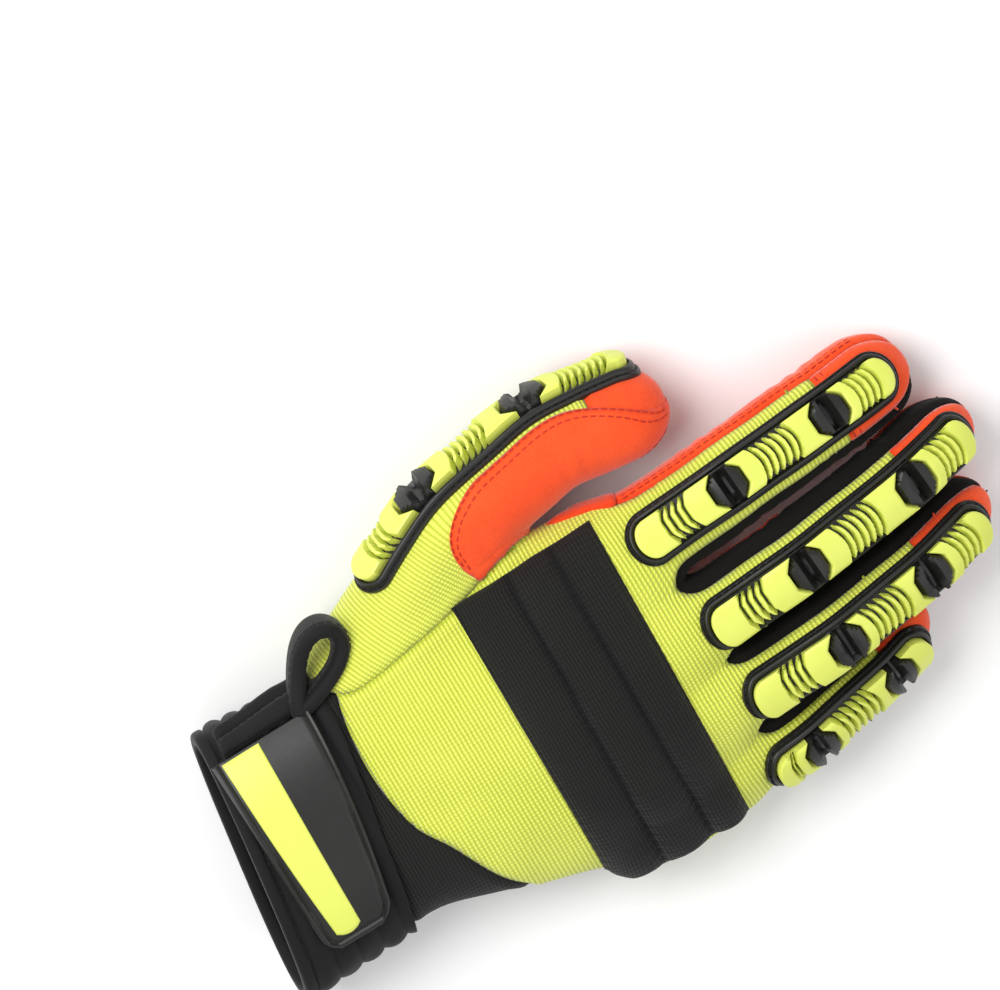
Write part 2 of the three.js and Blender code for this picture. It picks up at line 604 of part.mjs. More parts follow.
// Suede saddle: a leaf up the thumb's inner side, across its fork and along the hand's edge to the index finger.
const LEAF_EDGES = [-212, -62]; // degrees round the thumb
const LEAF_START = 0.24;
const SADDLE_WEB = [
  [0.52, 0.5], [0.5, 0.6], [0.72, 0.64], [0.98, 0.56], [0.98, 0.45], [0.75, 0.45], [0.64, 0.46],
];
const leafReach = tube(thumb, 4, wedge("thumb", ...LEAF_EDGES), LEAF_START, 1);
const webReach = planPrism(inPalm(SADDLE_WEB), 0.45 * PALM_THICKNESS).subtract(
  tube(thumb, 4, wholeDigit("thumb"), LEAF_START, 1),
);
const saddleLayer = layer(GAP, GAP + PATCH_THICKNESS);
addPiece("thumb_saddle", saddleLayer.intersect(leafReach.add(webReach)), ORANGE_SUEDE);

// Padded knit over the knuckles, with stitched grooves across it. Its edges and grooves run from the thumb side
// to the little side.
const KNUCKLE_EDGES = [
  { thumbSide: 0.434, littleSide: 0.426 },
  { thumbSide: 0.616, littleSide: 0.58 },
  { thumbSide: 0.76, littleSide: 0.74 },
  { thumbSide: 0.9, littleSide: 0.862 },
];
const bandAcross = (edge, before, after) => {
  const [top, bottom] = [edge.thumbSide * PALM_LENGTH, edge.littleSide * PALM_LENGTH];
  const [littleSide, thumbSide] = [-0.75 * PALM_WIDTH, 0.435 * PALM_WIDTH];
  return [
    [bottom - before, littleSide],
    [bottom + after, littleSide],
    [top + after, thumbSide],
    [top - before, thumbSide],
  ];
};
const [nearLittle, , , nearThumb] = bandAcross(KNUCKLE_EDGES[0], 0, 0);
const [, farLittle, farThumb] = bandAcross(KNUCKLE_EDGES[3], 0, 0);
const knuckleOutline = [nearLittle, farLittle, farThumb, nearThumb];
const topHalf = body(KNUCKLE_PAD_HEIGHT + 6, BODY_FROM - 4, BODY_TO, halfOval(1, 2));
const padSurface = (height) =>
  body(GAP + KNUCKLE_PAD_EDGE, 0, BODY_TO, bodyOval, height - KNUCKLE_PAD_EDGE);
const knuckleBlank = padSurface(KNUCKLE_PAD_HEIGHT).intersect(planPrism(knuckleOutline)).intersect(topHalf);
const grooveFloor = padSurface(KNUCKLE_PAD_HEIGHT - KNUCKLE_GROOVE_DEPTH);
const knuckleGrooves = KNUCKLE_EDGES.slice(1, 3).map((edge) =>
  planPrism(bandAcross(edge, KNUCKLE_GROOVE_WIDTH / 2, KNUCKLE_GROOVE_WIDTH / 2)).subtract(grooveFloor),
);
const knucklePad = knuckleGrooves.reduce((pad, groove) => pad.subtract(groove), knuckleBlank);
addPiece("knuckle_pad", knucklePad.subtract(skinAt(GAP)), BLACK_KNIT);

// Moulded guards. A point of a guard is given by s along the digit, t across it and a height above the skin.
function guardPoint(digit, s, t, height) {
  const { up, side } = digit.directions(s);
  const { wide, thick } = digit.half(Math.min(s, TIP_START * digit.length));
  const radius = wide ** 2 / thick;
  const angle = t / radius;
  const drop = (radius + height) * (1 - Math.cos(angle));
  const lift = digit.half(s).thick + height - drop;
  return digit.centre(s).addScaledVector(up, lift).addScaledVector(side, (radius + height) * Math.sin(angle));
}

// A strip along a digit through stations of [s, half width, height]. The profile gives its section's [t, height].
const guardStrip = (digit, stations, profile) =>
  loft(
    stations.map(([s, half, height]) => {
      const outline = profile(half, height);
      return {
        flat: outline.map(([t, h]) => new THREE.Vector2(t, h)),
        points: outline.map(([t, h]) => guardPoint(digit, s, t, h)),
      };
    }),
  );

const SEAT_DEPTH = 1.5; // how far a guard is drawn under the skin before it is cut to it
const RIM_SLOPE = 0.3;
const GUARD_INNER = GUARD_WIDTH / 2 - GUARD_RIM_WIDTH - RIM_SLOPE - GAP; // half width of the coloured segments
const SLAB_THICKNESS = 0.9;
const HORN = 3; // how far a block's corners reach past its notch
const JOINT_REACH = 4.6; // half the length of a joint's two black blocks
const JOINT_SLIT = 1.2;

// The section of a guard's black tray: a rim on each side of a floor at a given height.
const trayProfile = (half, floor) => {
  const rim = half - GUARD_RIM_WIDTH;
  return [
    [-half, -SEAT_DEPTH],
    [-half, GUARD_RIM_HEIGHT],
    [-rim, GUARD_RIM_HEIGHT],
    [-rim + RIM_SLOPE, floor],
    [rim - RIM_SLOPE, floor],
    [rim, GUARD_RIM_HEIGHT],
    [half, GUARD_RIM_HEIGHT],
    [half, -SEAT_DEPTH],
  ];
};

// The section of a coloured segment.
const segmentProfile = (half, top) => [
  [-half, GUARD_FLOOR + GAP],
  [-half, top],
  [half, top],
  [half, GUARD_FLOOR + GAP],
];

// The stretches of a guard between its ends and its two joints.
const SEGMENTS = [
  { name: "proximal", ribs: 3, roundStart: true, roundEnd: false },
  { name: "middle", ribs: 5, roundStart: false, roundEnd: false },
  { name: "distal", ribs: 6, roundStart: false, roundEnd: true },
];
// How an end narrows to its tip: place from the tip and half width, as shares of the full half width.
const ROUND_END = [
  [0, 0.5],
  [0.35, 0.85],
  [0.95, 1],
];
const endStations = (s, direction, half) => ROUND_END.map(([at, wide]) => [s + direction * at * half, wide * half]);
// The tray's end: its rim runs right across before the floor begins.
const trayEnd = (s, direction, half) => [
  [s, 0.5 * half, GUARD_RIM_HEIGHT],
  [s + direction * GUARD_RIM_WIDTH, 0.74 * half, GUARD_RIM_HEIGHT],
  [s + direction * (GUARD_RIM_WIDTH + RIM_SLOPE), 0.78 * half, GUARD_FLOOR],
  [s + direction * 0.5 * half, 0.92 * half, GUARD_FLOOR],
  [s + direction * half, half, GUARD_FLOOR],
];
const FLANK = 0.3; // how far a rib's or block's end wall leans

// A raised stretch between two places: [s, height] from the level beside it up to the top and down again.
const raised = (from, to, level, top) => [
  [from, level],
  [from + FLANK, top],
  [to - FLANK, top],
  [to, level],
];

function addGuard(name) {
  const digit = digits[name];
  const marks = digit.row.guard.map((share) => share * digit.length);
  const half = GUARD_WIDTH / 2;
  const joints = marks.slice(1, 3).flatMap((at) => [
    ...raised(at - JOINT_REACH, at - JOINT_SLIT / 2, GUARD_FLOOR, GUARD_JOINT_HEIGHT),
    ...raised(at + JOINT_SLIT / 2, at + JOINT_REACH, GUARD_FLOOR, GUARD_JOINT_HEIGHT),
  ]);
  const stations = [
    ...trayEnd(marks[0], 1, half),
    ...joints.map(([s, height]) => [s, half, height]),
    ...trayEnd(marks[3], -1, half).toReversed(),
  ];
  addPiece(`${name}_guard_base`, guardStrip(digit, stations, trayProfile).subtract(skinAt(GAP)), BLACK_RUBBER);
  SEGMENTS.forEach((segment, i) => {
    const from = i === 0 ? marks[0] + GUARD_RIM_WIDTH + RIM_SLOPE + GAP : marks[i] + JOINT_REACH + GAP;
    const to = i === 2 ? marks[3] - GUARD_RIM_WIDTH - RIM_SLOPE - GAP : marks[i + 1] - JOINT_REACH - GAP;
    addPiece(`${name}_guard_${segment.name}`, guardSegment(digit, segment, from, to), LIME_RUBBER);
  });
}

// A coloured segment: a block at each end and ribs between them, on a thin slab.
function guardSegment(digit, segment, from, to) {
  const slab = GUARD_FLOOR + GAP + SLAB_THICKNESS;
  const slit = RIB_PITCH - RIB_WIDTH;
  const leastStart = segment.roundStart ? GUARD_INNER : HORN + 1.2;
  const leastEnd = segment.roundEnd ? GUARD_INNER : HORN + 1.2;
  const room = to - from - leastStart - leastEnd - slit;
  const ribs = Math.min(segment.ribs, Math.floor(room / RIB_PITCH));
  const spare = Math.max(0, room - ribs * RIB_PITCH);
  const ribStart = from + leastStart + spare / 2;
  const ribEnd = to - leastEnd - spare / 2;
  const opening = segment.roundStart ? endStations(from, 1, GUARD_INNER) : [[from, GUARD_INNER]];
  const closing = segment.roundEnd ? endStations(to, -1, GUARD_INNER).toReversed() : [[to, GUARD_INNER]];
  const stations = opening.map(([s, half]) => [s, half, GUARD_BLOCK_HEIGHT]);
  // A segment too short for a rib is one block.
  if (ribs > 0) stations.push([ribStart - FLANK, GUARD_INNER, GUARD_BLOCK_HEIGHT], [ribStart, GUARD_INNER, slab]);
  for (let rib = 0; rib < ribs; rib++) {
    const s = ribStart + slit + RIB_PITCH * rib;
    for (const [at, height] of raised(s - FLANK / 2, s + RIB_WIDTH + FLANK / 2, slab, GUARD_RIB_HEIGHT))
      stations.push([at, GUARD_INNER, height]);
  }
  if (ribs > 0) stations.push([ribEnd, GUARD_INNER, slab], [ribEnd + FLANK, GUARD_INNER, GUARD_BLOCK_HEIGHT]);
  stations.push(...closing.map(([s, half]) => [s, half, GUARD_BLOCK_HEIGHT]));
  return guardStrip(digit, stations, segmentProfile);
}

for (const name of ["thumb", ...FINGERS]) addGuard(name);

// Quilted cuff: rolls round the wrist, each a bulge of the outer surface.
const rollPitch = CUFF_LENGTH / CUFF_ROLLS;
const cuffRings = [];
for (let roll = -1; roll < CUFF_ROLLS; roll++)
  for (const [share, bulge] of [[0, 0], [0.5, 1]]) {
    const x = (roll + share) * rollPitch - CUFF_LENGTH + rollPitch;
    if (x < -CUFF_LENGTH + 0.1 || x > CUFF_LENGTH) continue;
    cuffRings.push(bodyRing(x, CUFF_THICKNESS / 2 + CUFF_ROLL_HEIGHT * bulge, bodyOval));
  }
const mouth = bodyRing(-CUFF_LENGTH, CUFF_THICKNESS / 2, bodyOval);
const wristSpan = 8;
const cuffOuter = loft([mouth, ...cuffRings, bodyRing(wristSpan, CUFF_THICKNESS / 2, bodyOval)]);
const cuffInner = body(-CUFF_THICKNESS / 2, -CUFF_LENGTH - 5, wristSpan + 5);
const cuffBand = cuffOuter.subtract(cuffInner).subtract(beyond(CUFF_SEAM, -HALF_GAP));
addPiece("cuff_band", cuffBand, BLACK_NEOPRENE);

// Folded binding round the cuff's mouth.
const bindingRing = (share, bulge) =>
  bodyRing(-CUFF_LENGTH - GAP - BINDING_WIDTH * share, CUFF_THICKNESS / 2 + bulge, bodyOval);
const bindingOuter = loft([bindingRing(1, 0), bindingRing(0.75, 1), bindingRing(0.25, 1), bindingRing(0, 0)]);
const bindingInner = body(-CUFF_THICKNESS / 2 - 0.8, -CUFF_LENGTH - BINDING_WIDTH - 6, 0);
addPiece("cuff_binding", bindingOuter.subtract(bindingInner), BLACK_NEOPRENE);

// Closure strap on the back of the wrist, with a stripe let into it. Corners run round from the thumb side.
const STRAP_BASE = CUFF_THICKNESS / 2 + CUFF_ROLL_HEIGHT + GAP;
const strapMiddle = 0.1 * PALM_WIDTH;
const strapFront = -0.16 * CUFF_LENGTH;
const strapOutline = (inset) => {
  const [top, bottom] = [strapMiddle + STRAP_LENGTH / 2 - inset, strapMiddle - STRAP_LENGTH / 2 + inset];
  const back = strapFront - STRAP_WIDTH;
  const [taperFront, taperBack] = [0.3 * STRAP_WIDTH, 0.05 * STRAP_WIDTH];
  const corner = 0.14 * STRAP_WIDTH;
  return [
    [back + inset, top], [strapFront - inset, top],
    [strapFront - taperFront - inset, bottom + corner], [strapFront - taperFront - corner - inset, bottom],
    [back + taperBack + corner + inset, bottom], [back + taperBack + inset, bottom + corner],
  ];
};
const cuffLayer = (low, high) =>
  body(high, -CUFF_LENGTH, 0.1 * PALM_LENGTH).subtract(body(low, -CUFF_LENGTH - 9, 0.1 * PALM_LENGTH + 9));
const cuffTop = body(12, -CUFF_LENGTH - 9, 0.1 * PALM_LENGTH + 9, halfOval(1, 3));
const strapTop = STRAP_BASE + STRAP_THICKNESS;
const strapPlate = cuffLayer(STRAP_BASE, strapTop).intersect(planPrism(strapOutline(0))).intersect(cuffTop);
const stripeOutline = (grow) => {
  const [top, bottom] = [strapMiddle + STRAP_LENGTH / 2 - 4 + grow, strapMiddle - STRAP_LENGTH / 2 + 4 - grow];
  const back = strapFront - STRAP_WIDTH;
  return [
    [back + 3 - grow, top],
    [back + 3 + STRIPE_WIDTH + grow, top],
    [back + 3.4 + 0.9 * STRIPE_WIDTH + grow, bottom],
    [back + 7 - grow, bottom],
  ];
};
const recessDepth = STRIPE_THICKNESS + GAP;
const stripeRecess = cuffLayer(strapTop - recessDepth, strapTop + 3).intersect(planPrism(stripeOutline(GAP)));
addPiece("closure_strap", strapPlate.subtract(stripeRecess), BLACK_RUBBER);
addPiece(
  "strap_stripe",
  cuffLayer(strapTop - STRIPE_THICKNESS, strapTop + 0.3).intersect(planPrism(stripeOutline(0))).intersect(cuffTop),
  LIME_RUBBER,
);

// Bound edge of the cuff's overlap, along the thumb end of the strap.
const flapNear = strapMiddle + STRAP_LENGTH / 2 + GAP;
const flapShape = (grow) => [
  [-0.98 * CUFF_LENGTH - grow, flapNear + 0.5 - grow],
  [-0.06 * CUFF_LENGTH + grow, flapNear - grow],
  [-0.06 * CUFF_LENGTH + grow, flapNear + FLAP_WIDTH + grow],
  [-0.98 * CUFF_LENGTH - grow, flapNear + FLAP_WIDTH + 0.5 + grow],
];
const flapLayer = cuffLayer(STRAP_BASE, STRAP_BASE + FLAP_THICKNESS).intersect(cuffTop);
addPiece("flap_edge", flapLayer.intersect(planPrism(flapShape(0))), BLACK_NEOPRENE);

// Pull loop: a band stood on edge and closed to a drop, beside the strap.
function loopOutline(inset) {
  const [length, width] = [LOOP_LENGTH - 2 * inset, LOOP_WIDTH - 2 * inset];
  const radius = width / 2;
  const centre = length / 2 - radius;
  return Array.from({ length: 16 }, (_, i) => {
    const angle = -0.75 * Math.PI + (1.5 * Math.PI * i) / 15;
    return [centre + radius * Math.cos(angle), radius * Math.sin(angle)];
  }).concat([[-length / 2, 0]]);
}
const turned = (outline, degrees, x, y) =>
  outline.map(([px, py]) => {
    const angle = THREE.MathUtils.degToRad(degrees);
    return [x + px * Math.cos(angle) - py * Math.sin(angle), y + px * Math.sin(angle) + py * Math.cos(angle)];
  });
const loopPlace = [18, 2, 0.465 * PALM_WIDTH];
const loopTop = 0.6 * PALM_THICKNESS + LOOP_HEIGHT;
const loopBand = planPrism(turned(loopOutline(0), ...loopPlace), loopTop - LOOP_HEIGHT, loopTop).subtract(
  planPrism(turned(loopOutline(LOOP_WALL), ...loopPlace)),
);
const cuffClear = cuffOuter.add(skinAt(GAP)).add(body(STRAP_BASE, -CUFF_LENGTH, wristSpan));
const strapClear = planPrism(strapOutline(-GAP)).add(planPrism(flapShape(GAP)));
addPiece("pull_loop", loopBand.subtract(cuffClear).subtract(strapClear), BLACK_NEOPRENE);

// Woven pull tab under the wrist, from the heel of the palm to past the cuff's mouth.
const tabFrom = -CUFF_LENGTH - BINDING_WIDTH - PULL_TAB_REACH;
const tabTo = tabFrom + PULL_TAB_LENGTH;
const tabLayer = (low, high) => body(high, tabFrom - 2, tabTo + 2).subtract(body(low, tabFrom - 6, tabTo + 6));
const tabOutline = [
  [tabFrom, -PULL_TAB_WIDTH / 2],
  [tabTo, -PULL_TAB_WIDTH / 2],
  [tabTo, PULL_TAB_WIDTH / 2],
  [tabFrom, PULL_TAB_WIDTH / 2],
];
addPiece(
  "pull_tab",
  tabLayer(STRAP_BASE, STRAP_BASE + PULL_TAB_THICKNESS).intersect(planPrism(tabOutline, -20, 0.3 * PALM_THICKNESS)),
  BLACK_KNIT,
);

// The origin is under the middle of the glove, on the table.
const box = new THREE.Box3().setFromObject(glove);
const middle = box.getCenter(new THREE.Vector3());
glove.position.set(-middle.x, -middle.y, -box.min.z);

export default glove;
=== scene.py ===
"""The looks of an impact work glove for the right hand, lying palm down.

Every length below is in millimetres, in the glove's own directions: X from the cuff to the fingertips, Y to
the thumb side, Z up through the back of the hand. Meshes are turned into metres, in the CAD part's frame, as
they are made. The sewn shell is one smooth surface, where a field that blends the hand and the digits is 0,
cut into its panels along the seams.
"""

import logging
import math
from dataclasses import dataclass, field
from enum import Enum

import bpy
import numpy as np
from mathutils import Matrix, Vector


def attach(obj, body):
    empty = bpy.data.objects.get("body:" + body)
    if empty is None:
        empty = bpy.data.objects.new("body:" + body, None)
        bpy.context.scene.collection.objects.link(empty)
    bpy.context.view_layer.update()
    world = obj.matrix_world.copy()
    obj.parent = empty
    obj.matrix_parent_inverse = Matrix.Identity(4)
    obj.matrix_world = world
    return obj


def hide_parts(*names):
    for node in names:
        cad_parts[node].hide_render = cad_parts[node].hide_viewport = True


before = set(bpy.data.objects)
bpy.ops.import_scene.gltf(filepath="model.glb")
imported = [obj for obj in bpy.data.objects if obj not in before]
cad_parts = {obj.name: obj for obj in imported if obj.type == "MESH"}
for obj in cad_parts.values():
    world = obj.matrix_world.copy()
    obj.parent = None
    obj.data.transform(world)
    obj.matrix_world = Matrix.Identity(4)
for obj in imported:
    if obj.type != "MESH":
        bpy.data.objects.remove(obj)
log = logging.getLogger("glove")

MM = 0.001
ORIGIN = np.array([-78.776, -15.730, 0.0])  # the CAD part's own origin, in its frame
PALM_LENGTH = 106.0
PALM_WIDTH = 108.0
PALM_THICKNESS = 40.0
CUFF_LENGTH = 43.0
FINGER_LENGTH = 134.0
FINGER_WIDTH = 25.6
FINGER_THICKNESS = 25.0
THUMB_LENGTH = 119.0
FINGER_SPANS = tuple(share * FINGER_LENGTH for share in (0.915, 0.985, 0.92, 0.72))
BODY_POWER = 2.5
DIGIT_POWER = 2.3
SKIN_FLOOR = 2.3
NET_STEP = 1.0
RADIANS = math.pi / 180


class Slot(Enum):
    """Material slots of the record."""

    LIME_KNIT = "lime_knit"
    BLACK_KNIT = "black_knit"
    BLACK_SUEDE = "black_suede"
    BLACK_NEOPRENE = "black_neoprene"
    BLACK_RUBBER = "black_rubber"
    LIME_RUBBER = "lime_rubber"
    ORANGE_SUEDE = "orange_suede"


def smooth(share: np.ndarray) -> np.ndarray:
    """A soft step, 3t^2 - 2t^3 between 0 and 1.

    Args:
        share: Any numbers.

    Returns:
        0 below 0 and 1 above 1.
    """
    t = np.clip(share, 0, 1)
    return t * t * (3 - 2 * t)


def blend_min(a: np.ndarray, b: np.ndarray, reach: float | np.ndarray) -> np.ndarray:
    """The smaller of two fields, rounded where they cross.

    Args:
        a: First field.
        b: Second field.
        reach: Width of the rounding; it takes reach/4 off at the crossing.

    Returns:
        The blended field.
    """
    share = np.clip(0.5 + 0.5 * (b - a) / reach, 0, 1)
    return b + (a - b) * share - reach * share * (1 - share)


def through(rows: np.ndarray, x: np.ndarray) -> np.ndarray:
    """Values at x on smooth curves through the rows of a table: cubic Hermite pieces with central slopes.

    Args:
        rows: One row for each place, its first column the place.
        x: Places wanted.

    Returns:
        One row for each place wanted, without the place.
    """
    at, values = rows[:, 0], rows[:, 1:]
    index = np.arange(len(at))
    low, high = np.maximum(index - 1, 0), np.minimum(index + 1, len(at) - 1)
    slopes = (values[high] - values[low]) / (at[high] - at[low])[:, None]
    i = np.clip(np.searchsorted(at, x, side="right") - 1, 0, len(at) - 2)
    span = at[i + 1] - at[i]
    t = np.clip((x - at[i]) / span, 0, 1)[:, None]
    t2, t3 = t * t, t * t * t
    start = (2 * t3 - 3 * t2 + 1) * values[i] + (t3 - 2 * t2 + t) * span[:, None] * slopes[i]
    return start + (3 * t2 - 2 * t3) * values[i + 1] + (t3 - t2) * span[:, None] * slopes[i + 1]


def oval_distance(a: np.ndarray, b: np.ndarray, along: np.ndarray, sizes: tuple, power: float) -> np.ndarray:
    """Distance outside a superellipse that closes like a sphere along its axis.

    G = (|a/A|^p + |b/B|^p)^(1/p) is 1 on the outline, g = hypot(G, along/C) is 1 on the surface, and the
    distance is (g - 1) / |grad g|.

    Args:
        a: Offset along the first half axis.
        b: Offset along the second half axis.
        along: Offset past the place where the closing starts, 0 before it.
        sizes: Half axes A and B, and the closing length C.
        power: The power p.

    Returns:
        The distance, less than 0 inside.
    """
    wide, thick, closing = sizes
    u, v = np.abs(a) / wide, np.abs(b) / thick
    oval = np.maximum((u**power + v**power) ** (1 / power), 1e-3)
    slope = np.hypot((u / oval) ** (power - 1) / wide, (v / oval) ** (power - 1) / thick)
    reach = np.hypot(oval, along / closing)
    steep = np.hypot(oval * slope, along / closing**2) / reach
    return (reach - 1) / np.maximum(steep, 0.5 / np.maximum(wide, thick))


@dataclass
class Hand:
    """The hand's body: rounded oblong sections, bent over the hand's arch, from the cuff to the forks."""

    arch_centre: float = 0.046 * PALM_WIDTH
    round_from: float = 92.0
    round_to: float = 110.5
    rows: np.ndarray = field(default_factory=lambda: Hand.table())

    @staticmethod
    def table() -> np.ndarray:
        """The hand's sections, from the cuff to the knuckles.

        Returns:
            Rows of x, centre, half width, rise, half thickness, arch drop, slant and skew.
        """
        cuff = [
            (-1.0, 0.065, 0.396, 0.63, 0.48, 0.055, 0.06, 0.13),
            (-0.45, 0.065, 0.38, 0.62, 0.47, 0.055, 0.03, 0.06),
        ]
        palm = [
            (0.0, 0.06, 0.385, 0.603, 0.472, 0.06, 0, 0),
            (0.23, 0.037, 0.444, 0.55, 0.56, 0.1, 0, 0),
            (0.34, 0.022, 0.463, 0.57, 0.55, 0.14, 0, 0),
            (0.47, 0.0, 0.482, 0.61, 0.53, 0.2, 0, 0),
            (0.7, -0.028, 0.5, 0.735, 0.44, 0.31, 0, 0),
            (0.87, -0.037, 0.495, 0.74, 0.39, 0.35, 0, 0),
            (0.985, -0.046, 0.47, 0.71, 0.28, 0.35, 0, 0),
            (1.03, -0.046, 0.43, 0.7, 0.15, 0.35, 0, 0),
        ]
        table = np.array(cuff + palm)
        table[: len(cuff), 0] *= CUFF_LENGTH
        table[len(cuff) :, 0] *= PALM_LENGTH
        table[:, 1:3] *= PALM_WIDTH
        table[:, 3:6] *= PALM_THICKNESS
        return table

    def locate(self, points: np.ndarray) -> tuple:
        """Places points in the sections they lie in.

        Args:
            points: Points of the glove.

        Returns:
            Offsets across and up in the section, and its half width and half thickness.
        """
        columns = through(self.rows, np.minimum(points[:, 0], self.round_from))
        centre, half, rise, thick, drop = columns.T[:5]
        y = points[:, 1].copy()
        for _ in range(2):
            slope = -2 * drop * (y - self.arch_centre) / half**2
            length = np.hypot(1, slope)
            up = (points[:, 2] - rise + drop * ((y - self.arch_centre) / half) ** 2) * length
            y = points[:, 1] + np.clip(up, -20, 20) * slope / length
        return y - centre, up, half, thick

    def distance(self, points: np.ndarray) -> tuple:
        """Distance outside the body, and the height above its middle line.

        Args:
            points: Points of the glove.

        Returns:
            Both, one number for each point.
        """
        across, up, half, thick = self.locate(points)
        past = np.maximum(points[:, 0] - self.round_from, 0)
        sizes = (half, thick, self.round_to - self.round_from)
        return oval_distance(across, up, past, sizes, BODY_POWER), up

    def ring(self, x: np.ndarray, angle: np.ndarray, offset: np.ndarray) -> np.ndarray:
        """Points of a section's outline grown by an offset.

        The outline is (A c^(2/p), B s^(2/p)), with c and s the cosine and sine of the angle and A and B the
        half axes plus the offset. It stands on the arch rise - drop ((y - arch_centre) / half)^2.

        Args:
            x: Place of the section.
            angle: Angle round it from the thumb side, through the back.
            offset: Height above the body.

        Returns:
            The points.
        """
        x, angle, offset = np.broadcast_arrays(x, angle, offset)
        centre, half, rise, thick, drop, slant, skew = through(self.rows, x.ravel()).T.reshape(7, *x.shape)
        c, s = np.cos(angle), np.sin(angle)
        across = (half + offset) * np.sign(c) * np.abs(c) ** (2 / BODY_POWER)
        up = (thick + offset) * np.sign(s) * np.abs(s) ** (2 / BODY_POWER)
        y = centre + across
        slope = -2 * drop * (y - self.arch_centre) / half**2
        length = np.hypot(1, slope)
        z = rise - drop * ((y - self.arch_centre) / half) ** 2 + up / length
        lean = slant * (z - rise) + skew * across
        floor = np.maximum(0.1, SKIN_FLOOR - offset)
        return np.stack([x + lean, y - up * slope / length, np.maximum(z, floor)], axis=-1)

    def over(self, x: np.ndarray, y: np.ndarray, offset: np.ndarray, side: int = 1) -> np.ndarray:
        """Points of the grown body over or under given places of the plan.

        Args:
            x: Places along the glove.
            y: Places across it.
            offset: Height above the body.
            side: 1 for the back, -1 for the palm side.

        Returns:
            The points.
        """
        x, y, offset = np.broadcast_arrays(np.asarray(x, float), y, offset)
        columns = through(self.rows, x.ravel()).T.reshape(7, *x.shape)
        centre, half, _, thick, _, slant, skew = columns
        across = np.clip((y - centre) / (half + offset), -0.999, 0.999)
        c = np.sign(across) * np.abs(across) ** (BODY_POWER / 2)
        angle = side * np.arccos(c)
        z = side * thick * (1 - np.abs(across) ** BODY_POWER) ** (1 / BODY_POWER)
        return self.ring(x - slant * z - skew * (y - centre), angle, offset)


def turned(vector: np.ndarray, axis: np.ndarray, angle: float) -> np.ndarray:
    """The vector turned round an axis at right angles to it."""
    return vector * math.cos(angle) + np.cross(axis, vector) * math.sin(angle)


